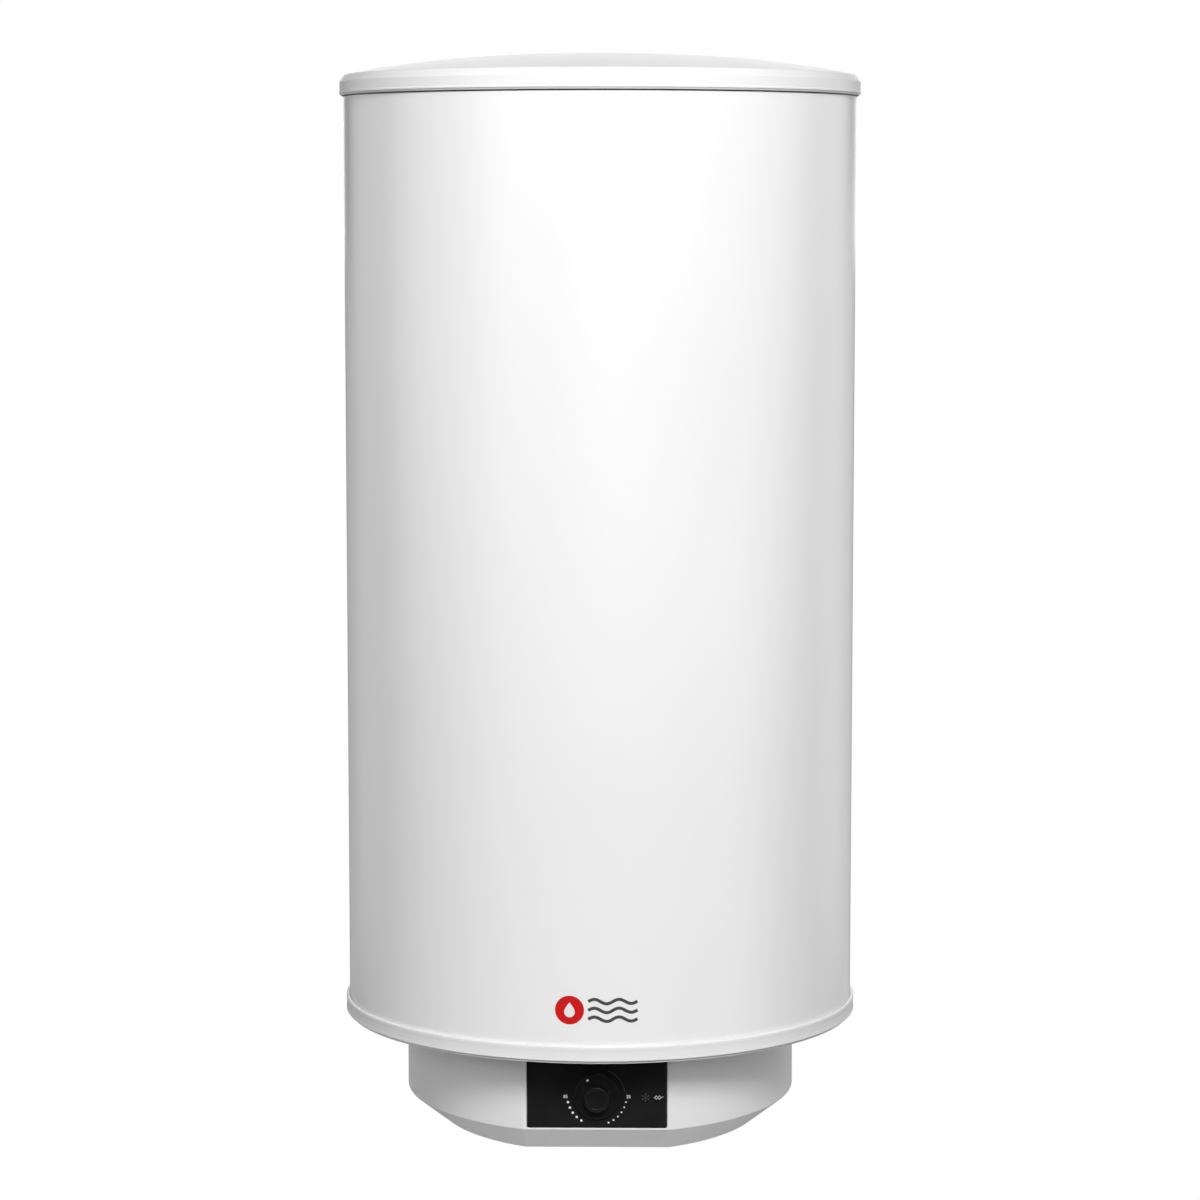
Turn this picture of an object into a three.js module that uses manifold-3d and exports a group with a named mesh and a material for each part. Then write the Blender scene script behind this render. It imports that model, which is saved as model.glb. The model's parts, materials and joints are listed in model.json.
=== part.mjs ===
// Wall-hung electric tank water heater of the 100 litre class, as a three.js scene graph.
// Millimetres, +Z up, front towards -Y. The wall is the plane Y = 0, and the origin is the
// centre of the hanging bracket's back face. Everything is modelled in the tank's own frame
// (axis on Z, Z = 0 at the underside of the bottom rim) and one group carries it to the wall.
import * as THREE from 'three';
import { mergeVertices } from 'three/addons/utils/BufferGeometryUtils.js';
import { LoftGeometry } from 'three/addons/geometries/LoftGeometry.js';
import Module from 'manifold-3d';

const wasm = await Module();
wasm.setup();

// ---- driving dimensions ------------------------------------------------------------------

const GAP = 0.3;                    // air left between pieces that touch
const ROUND_SEGMENTS = 36;          // facets round the large turned shells
const SMALL_SEGMENTS = 12;          // facets round shafts, screws and short tubes

const JACKET_RADIUS = 227;
const JACKET_WALL = 0.8;
const JACKET_TOP = 825;

const TOP_CAP_RADIUS = 230.9;
const TOP_CAP_LINE = 818.4;         // lower edge of the cap's skirt
const TOP_CAP_HEIGHT = 854.8;       // crown of the cap
const TOP_CAP_CROWN_DROP = 18.4;    // fall of the crown from the axis to the jacket's radius
const TOP_CAP_CROWN_POWER = 2.45;
const TOP_CAP_SHOULDER_RADIUS = 226;
const TOP_CAP_WALL = 2.5;

const RIM_RADIUS = 230.1;
const RIM_HEIGHT = 13.1;
const RIM_ROUNDING = 0.8;
const RIM_STEP_RADIUS = 227.4;      // a narrower bead under the rim
const RIM_STEP_DROP = 2.4;
const FLOOR_UNDERSIDE = 1.5;        // the bottom cap's floor, from its rim's lower edge
const FLOOR_THICKNESS = 2.5;
const FLOOR_OPENING_RADIUS = 95;
const FLOOR_TOP = FLOOR_UNDERSIDE + FLOOR_THICKNESS;

const COVER_WALL = 2.5;
// The cover's plan is an ellipse in front and round at the sides, with a flat front and back.
// It is stated at its wall and at its foot, where it is smaller.
const COVER_BACK_FLAT = 112;
const COVER_FRONT_FLAT = 170;       // distance of the flat control face from the axis
const COVER_WALL_PLAN = { side: 174.5, front: 181.6, flat: COVER_FRONT_FLAT, back: COVER_BACK_FLAT };
const COVER_FOOT_PLAN = { side: 140, front: 161.9, flat: 145.3, back: 82 };
const COVER_WALL_BOTTOM = -74.2;    // where the flat front turns into the chamfer
const COVER_BOTTOM = -96.2;
// Levels down the bend: how far the plan has shrunk towards the foot's, and the height, at the
// front and back flats, where the bend is sharp, and at the sides, where it is wide.
const COVER_BENDS = [
  { flats: [0, COVER_WALL_BOTTOM], sides: [0, -54.5] },
  { flats: [0.04, -75.1], sides: [0.13, -71.8] },
  { flats: [0.5, -85.2], sides: [0.48, -84.8] },
  { flats: [1, COVER_BOTTOM], sides: [1, COVER_BOTTOM] },
];
const COVER_FRONT_WALL = 5;         // the control face is thicker, for its pocket
const COVER_SCREW_SEAT = -8;        // where the cover's screws clamp, deep in their wells

const FASCIA_WIDTH = 121.2;
const FASCIA_HEIGHT = 70.6;
const FASCIA_TOP = -2;
const FASCIA_THICKNESS = 2;
const FASCIA_CORNER = 1.5;
const POCKET_DEPTH = 2.4;

const DIAL_HEIGHT = -44.4;          // height of the knob's axis
const KNOB_RADIUS = 19.8;
const KNOB_SKIRT = 3.5;
const KNOB_GRIP_RADIUS = 11.6;
const KNOB_DEPTH = 14.5;
const KNOB_CLEARANCE = 0.6;         // from the fascia's face to the back of the knob
const SHAFT_RADIUS = 3;
const LAMP_HEIGHT = -45.7;
const LAMP_WINDOW = 8.4;
const HEATING_LAMP_X = 53.4;
const FROST_LAMP_X = 42.2;

const TANK_RADIUS = 203;
const TANK_WALL = 2;
const TANK_DOME = 50;
const TANK_LOWER_SEAM = 74;
const TANK_UPPER_SEAM = 748;
const NECK_RADIUS = 62;
const NECK_WALL = 3;
const NECK_BOTTOM = 2.3;

const FLANGE_RING_INNER = 55;
const FLANGE_RING_OUTER = 80;
const FLANGE_RING_HEIGHT = 8;
const GASKET_THICKNESS = 3;
const FLANGE_PLATE_RADIUS = 82;
const FLANGE_PLATE_THICKNESS = 6;
const FLANGE_RING_BOTTOM = NECK_BOTTOM - GAP - FLANGE_RING_HEIGHT;
const GASKET_BOTTOM = FLANGE_RING_BOTTOM - GAP - GASKET_THICKNESS;
const FLANGE_PLATE_BOTTOM = GASKET_BOTTOM - GAP - FLANGE_PLATE_THICKNESS;
const BOLT_COUNT = 6;
const BOLT_CIRCLE_RADIUS = 70;
const BOLT_RADIUS = 3.9;
const BOLT_HEAD_RADIUS = 7.5;
const BOLT_HEAD_HEIGHT = 5.5;

const ELEMENT_RADIUS = 4;
const ELEMENT_PITCH = 16;           // between neighbouring legs of the folded element
const ELEMENT_LEGS = 4;
const ELEMENT_TOP = 330;
const ELEMENT_LOW_BEND = 70;
const ELEMENT_Y = -15;
const ELEMENT_END = -24;
const ANODE_PLACE = [20, 24];
const ANODE_RADIUS = 11;
const ANODE_TOP = 340;
const STUD_RADIUS = 4;
const THERMOWELL_PLACE = [-24, 22];
const THERMOWELL_RADIUS = 8;
const THERMOWELL_BORE = 6.6;
const THERMOWELL_TOP = 300;
const THERMOWELL_MOUTH = -20;
const BULB_RADIUS = 2.9;
const BULB_OFFSET = 3.35;

const PIPE_SPACING = 100;           // between the cold inlet and the hot outlet
const PIPE_Y = 135;
const NIPPLE_RADIUS = 10.5;         // half-inch pipe thread, crest to crest about 21 mm
const PIPE_BORE = 7.6;
const PIPE_HOLE_RADIUS = NIPPLE_RADIUS + 0.4;
const NIPPLE_END = -24;
const STUB_TOP = 56;
const RISER_BORE = 6.2;

const SHEET = 1.5;                  // thickness of the galvanised brackets
const BRACKET_PLATE = 3;
const WALL_BRACKET_WIDTH = 260;
const WALL_BRACKET_HEIGHT = 50;
const WALL_BRACKET_LEVEL = 715;     // height of the hanging bracket above the rim
const WALL_DISTANCE = 238;          // from the tank's axis to the wall
const HOOK_SPACING = 210;
const HOOK_SLOT_WIDTH = 13;
const HOOK_SLOT_HEIGHT = 28;
const LEG_X = 60;
const SPACER_LEVEL = 155;

const GLAND_HEIGHT = -50;
const GLAND_THREAD_RADIUS = 9;
const GLAND_BORE = 5.2;
const LEAD_RADIUS = 1.4;
const LEAD_SIDES = 8;
const CAPILLARY_RADIUS = 1;

// ---- materials ---------------------------------------------------------------------------

const finish = (color, roughness, metalness = 0) =>
  new THREE.MeshStandardMaterial({ color, roughness, metalness });

const whiteEnamel = () => finish(0xf4f5f6, 0.35);
const whitePlastic = () => finish(0xf1f2f3, 0.5);
const blackGloss = () => finish(0x0b0b0d, 0.12);
const blackPlastic = () => finish(0x1a1a1c, 0.45);
const galvanised = () => finish(0xb9bdc0, 0.45, 0.9);
const zincSteel = () => finish(0xc9ccce, 0.3, 0.95);
const blueGreyEnamel = () => finish(0x3d4a5e, 0.3);
const copper = () => finish(0xb87548, 0.35, 0.95);
const brass = () => finish(0xc2a253, 0.3, 0.95);
const whiteCeramic = () => finish(0xece8df, 0.4);
const foamYellow = () => finish(0xd9c98c, 0.95);
const siliconeRed = () => finish(0x9a3b2e, 0.8);
const magnesium = () => finish(0x9b9d9f, 0.7, 0.6);
const darkBakelite = () => finish(0x2a221c, 0.5);
const circuitBoard = () => finish(0x1f5a35, 0.6);
const clearLens = () => finish(0xe9eef2, 0.1);
const plainRed = () => finish(0xb3261e, 0.45);
const plainBlue = () => finish(0x2255a4, 0.45);
const brownLead = () => finish(0x5e3a22, 0.5);
const blueLead = () => finish(0x2b5fa8, 0.5);
const earthLead = () => finish(0x6f8f2c, 0.5);

// ---- geometry helpers --------------------------------------------------------------------

// Merges shared corners and drops the empty triangles that a turned shape has on its axis.
function weld(geometry) {
  const bare = new THREE.BufferGeometry();
  bare.setAttribute('position', geometry.attributes.position);
  bare.setIndex(geometry.index);
  const merged = mergeVertices(bare);
  const corners = [];
  for (let i = 0; i < merged.index.count; i += 3) {
    const [a, b, c] = [0, 1, 2].map((k) => merged.index.getX(i + k));
    if (a !== b && b !== c && c !== a) {
      corners.push(a, b, c);
    }
  }
  merged.setIndex(corners);
  return merged;
}

function toSolid(geometry) {
  const welded = weld(geometry);
  const vertProperties = new Float32Array(welded.attributes.position.array);
  const triVerts = new Uint32Array(welded.index.array);
  return new wasm.Manifold(new wasm.Mesh({ numProp: 3, vertProperties, triVerts }));
}

function fromSolid(solid) {
  const mesh = solid.getMesh();
  const geometry = new THREE.BufferGeometry();
  geometry.setAttribute('position', new THREE.BufferAttribute(new Float32Array(mesh.vertProperties), 3));
  geometry.setIndex(new THREE.BufferAttribute(new Uint32Array(mesh.triVerts), 1));
  geometry.computeVertexNormals();
  return geometry;
}

function join(...geometries) {
  const [first, ...others] = geometries.map(toSolid);
  return fromSolid(others.reduce((sum, other) => sum.add(other), first));
}

function cut(geometry, ...tools) {
  return fromSolid(tools.map(toSolid).reduce((rest, tool) => rest.subtract(tool), toSolid(geometry)));
}

// A solid of revolution about Z. The profile lists [radius, height] with the outer wall going
// up; it starts and ends on the axis, or else it is closed here.
function turned(profile, segments = SMALL_SEGMENTS) {
  const points = profile.map(([radius, height]) => new THREE.Vector2(radius, height));
  if (profile[0][0] > 0) {
    points.push(points[0].clone());
  }
  return new THREE.LatheGeometry(points, segments).rotateX(Math.PI / 2);
}

// A round rod from one height to another, and a tube with a bore.
function rod(radius, low, high, segments = SMALL_SEGMENTS) {
  return turned([[0, low], [radius, low], [radius, high], [0, high]], segments);
}

function tube(bore, radius, low, high, segments = SMALL_SEGMENTS) {
  return turned([[bore, low], [radius, low], [radius, high], [bore, high]], segments);
}

// A box from its lowest to its highest corner.
function block(low, high) {
  const size = high.map((value, axis) => value - low[axis]);
  const centre = high.map((value, axis) => (value + low[axis]) / 2);
  return new THREE.BoxGeometry(...size).translate(...centre);
}

// Turns a shape built along +Z to point forward, along -Y.
function facingForward(geometry) {
  return geometry.rotateX(Math.PI / 2);
}

// Turns a shape built along +Z to point back, along +Y.
function facingBack(geometry) {
  return geometry.rotateX(-Math.PI / 2);
}

function roundedRectangle(width, height, radius) {
  const [x, y] = [width / 2, height / 2];
  const shape = new THREE.Shape();
  shape.moveTo(-x + radius, -y);
  shape.lineTo(x - radius, -y);
  shape.absarc(x - radius, -y + radius, radius, -Math.PI / 2, 0);
  shape.absarc(x - radius, y - radius, radius, 0, Math.PI / 2);
  shape.absarc(-x + radius, y - radius, radius, Math.PI / 2, Math.PI);
  shape.absarc(-x + radius, -y + radius, radius, Math.PI, Math.PI * 1.5);
  return shape;
}

function extruded(shape, depth, curveSegments = 3) {
  return new THREE.ExtrudeGeometry(shape, { depth, bevelEnabled: false, curveSegments });
}

// A flexible lead or capillary through the given points.
function flexible(points, radius, steps) {
  const section = new THREE.Shape().absarc(0, 0, radius, 0, Math.PI * 2);
  const route = new THREE.CatmullRomCurve3(points.map((point) => new THREE.Vector3(...point)));
  return new THREE.ExtrudeGeometry(section, { extrudePath: route, steps, curveSegments: LEAD_SIDES / 2 });
}

// Points on an ellipse in the [radius, height] plane, between two angles in degrees.
function ellipseArc(radius, height, centreHeight, from, to, steps) {
  return Array.from({ length: steps + 1 }, (_, i) => {
    const angle = THREE.MathUtils.degToRad(from + ((to - from) * i) / steps);
    return [Math.max(0, radius * Math.cos(angle)), centreHeight + height * Math.sin(angle)];
  });
}

// ---- assembly ----------------------------------------------------------------------------

const heater = new THREE.Group();
const tankFrame = new THREE.Group();
tankFrame.position.set(0, -WALL_DISTANCE, -WALL_BRACKET_LEVEL);
heater.add(tankFrame);

function add(name, geometry, material, position = [0, 0, 0]) {
  const mesh = new THREE.Mesh(geometry, material);
  mesh.name = name;
  mesh.position.set(...position);
  tankFrame.add(mesh);
}

// ---- outer shell -------------------------------------------------------------------------

// Slots through the jacket and the foam for the hanging bracket's two legs.
function legSlots() {
  const half = WALL_BRACKET_HEIGHT / 2 + 2 * GAP;
  return [-1, 1].map((side) => {
    const outer = side * (LEG_X + GAP);
    const inner = side * (LEG_X - BRACKET_PLATE - GAP);
    return block(
      [Math.min(outer, inner), TANK_RADIUS / 2, WALL_BRACKET_LEVEL - half],
      [Math.max(outer, inner), WALL_DISTANCE, WALL_BRACKET_LEVEL + half],
    );
  });
}

function outerJacket() {
  const bottom = FLOOR_TOP + GAP;
  const shell = tube(JACKET_RADIUS - JACKET_WALL, JACKET_RADIUS, bottom, JACKET_TOP, ROUND_SEGMENTS);
  return cut(shell, ...legSlots());
}

function crownHeight(radius) {
  return TOP_CAP_HEIGHT - TOP_CAP_CROWN_DROP * (radius / JACKET_RADIUS) ** TOP_CAP_CROWN_POWER;
}

function topCap() {
  const crownRadii = [180, 120, 60, 0];
  const skirtInner = JACKET_RADIUS + 0.4;
  const lipRadius = 229.6;
  const lipHeight = TOP_CAP_LINE + 2.1;
  const faceTop = TOP_CAP_LINE + 11.9;
  const shoulder = [TOP_CAP_SHOULDER_RADIUS, crownHeight(TOP_CAP_SHOULDER_RADIUS)];
  const inside = crownRadii.map((radius) => [radius, crownHeight(radius) - TOP_CAP_WALL]).reverse();
  return turned([
    ...inside,
    [TOP_CAP_SHOULDER_RADIUS - TOP_CAP_WALL, shoulder[1] - TOP_CAP_WALL],
    [skirtInner, faceTop - TOP_CAP_WALL / 2],
    [skirtInner, TOP_CAP_LINE],
    [lipRadius, TOP_CAP_LINE],
    [TOP_CAP_RADIUS, lipHeight],
    [TOP_CAP_RADIUS, faceTop],
    shoulder,
    ...crownRadii.map((radius) => [radius, crownHeight(radius)]),
  ], ROUND_SEGMENTS);
}

const coverScrewPlaces = [[118, 45], [-118, 45], [108, -80], [-108, -80]];
const pipePlaces = [[-PIPE_SPACING / 2, PIPE_Y], [PIPE_SPACING / 2, PIPE_Y]];

function bottomCap() {
  const pipeHoleRadius = 17;
  const screwHoleRadius = 2.2;
  const beadInner = 219;
  const lipInner = JACKET_RADIUS + 0.4;
  const body = turned([
    [FLOOR_OPENING_RADIUS, FLOOR_UNDERSIDE],
    [beadInner, FLOOR_UNDERSIDE],
    [beadInner + FLOOR_UNDERSIDE + RIM_STEP_DROP, -RIM_STEP_DROP],
    [RIM_STEP_RADIUS, -RIM_STEP_DROP],
    [RIM_STEP_RADIUS, 0],
    [RIM_RADIUS - RIM_ROUNDING, 0],
    [RIM_RADIUS, RIM_ROUNDING],
    [RIM_RADIUS, RIM_HEIGHT - RIM_ROUNDING],
    [RIM_RADIUS - 1, RIM_HEIGHT],
    [lipInner, RIM_HEIGHT],
    [lipInner, FLOOR_TOP],
    [FLOOR_OPENING_RADIUS, FLOOR_TOP],
  ], ROUND_SEGMENTS);
  const holes = [
    ...pipePlaces.map(([x, y]) => rod(pipeHoleRadius, -1, FLOOR_TOP + 1, 16).translate(x, y, 0)),
    ...coverScrewPlaces.map(([x, y]) => rod(screwHoleRadius, -1, FLOOR_TOP + 1, 8).translate(x, y, 0)),
  ];
  return cut(body, ...holes);
}

// ---- inner tank and insulation -----------------------------------------------------------

// The tank's outline, grown by an offset, from the crown down to the neck.
function tankOutline(offset) {
  const radius = TANK_RADIUS + offset;
  const dome = TANK_DOME + offset;
  const neck = NECK_RADIUS + Math.max(offset, -NECK_WALL);
  const neckAngle = THREE.MathUtils.radToDeg(Math.acos(neck / radius));
  return [
    ...ellipseArc(radius, dome, TANK_UPPER_SEAM, 90, 0, 4),
    ...ellipseArc(radius, dome, TANK_LOWER_SEAM, 0, -neckAngle, 3),
  ];
}

function innerTank() {
  const inside = tankOutline(-TANK_WALL);
  const outside = tankOutline(0).reverse();
  const shell = turned([
    ...inside,
    [NECK_RADIUS - TANK_WALL, NECK_BOTTOM],
    [NECK_RADIUS, NECK_BOTTOM],
    ...outside,
  ], ROUND_SEGMENTS);
  const holes = pipePlaces.map(([x, y]) =>
    rod(PIPE_HOLE_RADIUS, NECK_BOTTOM, TANK_LOWER_SEAM, 16).translate(x, y, 0));
  return cut(shell, ...holes);
}

function insulationFoam() {
  const bottom = FLOOR_TOP + GAP;
  const outerRadius = JACKET_RADIUS - JACKET_WALL - GAP - 0.1;
  const clearance = 0.4;
  const neckRadius = NECK_RADIUS + clearance;
  const ringSeatRadius = FLOOR_OPENING_RADIUS;
  const ringSeatHeight = 8;
  const body = turned([
    ...tankOutline(clearance),
    [neckRadius, ringSeatHeight],
    [ringSeatRadius, ringSeatHeight],
    [ringSeatRadius, bottom],
    [outerRadius, bottom],
    [outerRadius, JACKET_TOP - 1],
    [0, JACKET_TOP - 1],
  ], ROUND_SEGMENTS);
  const collarPocketRadius = 17.2;
  const collarPocketTop = 9;
  const screwPocketRadius = 3;
  const screwPocketTop = 13;
  return cut(
    body,
    ...legSlots(),
    ...pipePlaces.map(([x, y]) => rod(collarPocketRadius, 0, collarPocketTop, 16).translate(x, y, 0)),
    ...pipePlaces.map(([x, y]) => rod(PIPE_HOLE_RADIUS, 0, TANK_LOWER_SEAM, 16).translate(x, y, 0)),
    ...coverScrewPlaces.map(([x, y]) => rod(screwPocketRadius, 0, screwPocketTop, 8).translate(x, y, 0)),
  );
}

// ---- flange ------------------------------------------------------------------------------

const boltPlaces = Array.from({ length: BOLT_COUNT }, (_, i) => {
  const angle = (Math.PI * 2 * i) / BOLT_COUNT;
  return [BOLT_CIRCLE_RADIUS * Math.cos(angle), BOLT_CIRCLE_RADIUS * Math.sin(angle)];
});

const elementLegX = Array.from({ length: ELEMENT_LEGS }, (_, i) =>
  (i - (ELEMENT_LEGS - 1) / 2) * ELEMENT_PITCH);

function boltHoles(low, high) {
  return boltPlaces.map(([x, y]) => rod(BOLT_RADIUS + 0.5, low, high, 8).translate(x, y, 0));
}

function flangeRing() {
  const top = NECK_BOTTOM - GAP;
  const ring = tube(FLANGE_RING_INNER, FLANGE_RING_OUTER, FLANGE_RING_BOTTOM, top, 24);
  return cut(ring, ...boltHoles(FLANGE_RING_BOTTOM - 1, top + 1));
}

function flangeGasket() {
  const top = GASKET_BOTTOM + GASKET_THICKNESS;
  const ring = tube(FLANGE_RING_INNER - 1, FLANGE_RING_OUTER - 1, GASKET_BOTTOM, top, 24);
  return cut(ring, ...boltHoles(GASKET_BOTTOM - 1, top + 1));
}

function flangePlate() {
  const [low, high] = [FLANGE_PLATE_BOTTOM, FLANGE_PLATE_BOTTOM + FLANGE_PLATE_THICKNESS];
  const hole = (radius, x, y) => rod(radius, low - 1, high + 1).translate(x, y, 0);
  return cut(
    rod(FLANGE_PLATE_RADIUS, low, high, 24),
    ...boltHoles(low - 1, high + 1),
    hole(ELEMENT_RADIUS + 0.6, elementLegX[0], ELEMENT_Y),
    hole(ELEMENT_RADIUS + 0.6, elementLegX[ELEMENT_LEGS - 1], ELEMENT_Y),
    hole(STUD_RADIUS + 0.5, ...ANODE_PLACE),
    hole(THERMOWELL_RADIUS + 0.5, ...THERMOWELL_PLACE),
  );
}

// A hexagon-head bolt, head down, whose head's upper face is at height 0.
function hexBolt(length) {
  return join(rod(BOLT_HEAD_RADIUS, -BOLT_HEAD_HEIGHT, 0, 6), rod(BOLT_RADIUS, -1, length, 8));
}

function flangeBolt(hasBracket) {
  const length = NECK_BOTTOM - FLANGE_PLATE_BOTTOM - 1;
  return hexBolt(hasBracket ? length + SHEET + GAP : length);
}

function hexNut(bore, radius, height) {
  return cut(rod(radius, 0, height, 6), rod(bore, -1, height + 1));
}

// ---- what the flange carries inside the tank ---------------------------------------------

// The folded element's centre line: straight legs joined by half-circle bends.
function elementRoute() {
  const bendRadius = ELEMENT_PITCH / 2;
  const bendSteps = 4;
  const route = [[elementLegX[0], ELEMENT_END]];
  for (let leg = 0; leg < ELEMENT_LEGS - 1; leg += 1) {
    const centreX = elementLegX[leg] + bendRadius;
    const up = leg % 2 === 0 ? 1 : -1;
    const centreZ = up > 0 ? ELEMENT_TOP : ELEMENT_LOW_BEND;
    for (let i = 0; i <= bendSteps; i += 1) {
      const angle = Math.PI - (Math.PI * i) / bendSteps;
      route.push([centreX + bendRadius * Math.cos(angle), centreZ + up * bendRadius * Math.sin(angle)]);
    }
  }
  route.push([elementLegX[ELEMENT_LEGS - 1], ELEMENT_END]);
  return route;
}

// A round section swept along a route that stays in one XZ plane.
function heatingElement() {
  const sides = 8;
  const route = elementRoute();
  const sections = route.map(([x, z], i) => {
    const [ax, az] = route[Math.max(0, i - 1)];
    const [bx, bz] = route[Math.min(route.length - 1, i + 1)];
    const tangent = new THREE.Vector3(bx - ax, 0, bz - az).normalize();
    const across = new THREE.Vector3(0, 1, 0);
    const inPlane = new THREE.Vector3().crossVectors(tangent, across);
    return Array.from({ length: sides }, (_, k) => {
      const angle = (Math.PI * 2 * k) / sides;
      return new THREE.Vector3(x, ELEMENT_Y, z)
        .addScaledVector(across, ELEMENT_RADIUS * Math.cos(angle))
        .addScaledVector(inPlane, -ELEMENT_RADIUS * Math.sin(angle));
    });
  });
  return new LoftGeometry(sections.map((section) => section.reverse()), { capStart: true, capEnd: true });
}

// A ceramic bead with its threaded pin, hanging below one end of the element.
function elementTerminal() {
  const beadRadius = 6;
  const beadHeight = 6;
  const pinRadius = 2;
  const pinEnd = -17;
  return turned([[0, pinEnd], [pinRadius, pinEnd], [pinRadius, -beadHeight], [beadRadius, -beadHeight],
    [beadRadius, 0], [0, 0]]);
}

function anodeRod() {
  const seat = FLANGE_PLATE_BOTTOM + FLANGE_PLATE_THICKNESS + GAP;
  const studEnd = FLANGE_PLATE_BOTTOM - 11;
  return turned([[0, studEnd], [STUD_RADIUS, studEnd], [STUD_RADIUS, seat], [ANODE_RADIUS, seat],
    [ANODE_RADIUS, ANODE_TOP], [0, ANODE_TOP]]);
}

function thermowell() {
  return turned([[0, THERMOWELL_TOP - 1.5], [THERMOWELL_BORE, THERMOWELL_TOP - 1.5],
    [THERMOWELL_BORE, THERMOWELL_MOUTH], [THERMOWELL_RADIUS, THERMOWELL_MOUTH],
    [THERMOWELL_RADIUS, THERMOWELL_TOP], [0, THERMOWELL_TOP]], 16);
}

// ---- water pipes -------------------------------------------------------------------------

function pipeStub() {
  return tube(PIPE_BORE, NIPPLE_RADIUS, NIPPLE_END, STUB_TOP, 16);
}

// A thin tube pushed into the hot stub; it draws the water off under the tank's crown.
function hotRiser() {
  const insertion = 16;
  const top = 772;
  return tube(RISER_BORE, PIPE_BORE - 0.4, STUB_TOP - insertion, top, 16);
}

// A capped sleeve on the cold pipe's end, with side windows that turn the flow outwards.
function inletDiffuser() {
  const sleeveBore = PIPE_HOLE_RADIUS;
  const [sleeveBottom, ceiling, top] = [STUB_TOP - 8, STUB_TOP + 14, STUB_TOP + 16.5];
  const body = turned([[0, ceiling], [sleeveBore, ceiling], [sleeveBore, sleeveBottom],
    [sleeveBore + 2.4, sleeveBottom], [sleeveBore + 2.4, top], [0, top]], 16);
  const [low, high] = [STUB_TOP + 3, STUB_TOP + 12];
  const windows = [block([-20, -3.5, low], [20, 3.5, high]), block([-3.5, -20, low], [3.5, 20, high])];
  return cut(body, ...windows);
}

// A push-in ring that fills the gap between a pipe and the bottom cap.
function waterCollar() {
  const bore = PIPE_HOLE_RADIUS;
  const bodyRadius = 16.5;
  const flangeRadius = 20;
  const flangeTop = FLOOR_UNDERSIDE - GAP;
  return turned([[bore, flangeTop - 3], [flangeRadius, flangeTop - 3], [flangeRadius, flangeTop],
    [bodyRadius, flangeTop], [bodyRadius, 8], [bore, 8]], 16);
}

// ---- wall fixings ------------------------------------------------------------------------

function hookSlot(x) {
  const radius = HOOK_SLOT_WIDTH / 2;
  const reach = (HOOK_SLOT_HEIGHT - HOOK_SLOT_WIDTH) / 2;
  const slot = new THREE.Path();
  slot.absarc(x, reach, radius, 0, Math.PI);
  slot.absarc(x, -reach, radius, Math.PI, Math.PI * 2);
  return slot;
}

function wallBracket() {
  const [halfWidth, halfHeight] = [WALL_BRACKET_WIDTH / 2, WALL_BRACKET_HEIGHT / 2];
  const returnDepth = 6;
  const legStart = TANK_RADIUS - 7.7;
  const front = WALL_DISTANCE - BRACKET_PLATE;
  const plate = roundedRectangle(WALL_BRACKET_WIDTH, WALL_BRACKET_HEIGHT, 3);
  plate.holes.push(hookSlot(-HOOK_SPACING / 2), hookSlot(HOOK_SPACING / 2));
  const sheet = facingForward(extruded(plate, BRACKET_PLATE, 4)).translate(0, WALL_DISTANCE, 0);
  const edge = (low, high) =>
    block([3 - halfWidth, front - returnDepth, low], [halfWidth - 3, front + 1, high]);
  const leg = (x) => block([x, legStart, -halfHeight], [x + BRACKET_PLATE, front + 1, halfHeight]);
  return join(
    sheet,
    edge(halfHeight - BRACKET_PLATE, halfHeight),
    edge(-halfHeight, BRACKET_PLATE - halfHeight),
    leg(LEG_X - BRACKET_PLATE),
    leg(-LEG_X),
  );
}

function lowerSpacer() {
  const [halfWidth, halfHeight, front] = [30, 15, 219];
  const pad = block([-halfWidth, front, -halfHeight], [halfWidth, WALL_DISTANCE, halfHeight]);
  return cut(pad, rod(JACKET_RADIUS + 0.4, -halfHeight - 1, halfHeight + 1, ROUND_SEGMENTS));
}

// ---- service cover -----------------------------------------------------------------------

// One level of the cover: a flat front, elliptical shoulders, round sides, a flat back. The
// level may lie lower at the flats than at the sides.
function coverLevel(level, inset, flatInset) {
  const plan = (key, share) => THREE.MathUtils.lerp(COVER_WALL_PLAN[key], COVER_FOOT_PLAN[key], share);
  const [flatShare] = level.flats;
  const frontCorner = Math.asin((plan('flat', flatShare) - flatInset) / (plan('front', flatShare) - inset));
  const backCorner = Math.asin((plan('back', flatShare) - inset) / (plan('side', flatShare) - inset));
  const [frontSteps, backSteps] = [8, 4];
  const right = [];
  for (let i = -frontSteps; i <= backSteps; i += 1) {
    const turn = i < 0 ? i / frontSteps : i / backSteps;
    const angle = turn * (i < 0 ? frontCorner : backCorner);
    const weight = THREE.MathUtils.smoothstep(Math.abs(turn), 0, 1);
    const share = THREE.MathUtils.lerp(level.sides[0], level.flats[0], weight);
    const height = THREE.MathUtils.lerp(level.sides[1], level.flats[1], weight);
    const halfWidth = plan('side', share) - inset;
    const depth = plan(i < 0 ? 'front' : 'side', share) - inset;
    right.push(new THREE.Vector3(halfWidth * Math.cos(angle), depth * Math.sin(angle), height));
  }
  const left = right.map((point) => new THREE.Vector3(-point.x, point.y, point.z)).reverse();
  return [...right, ...left];
}

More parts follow.
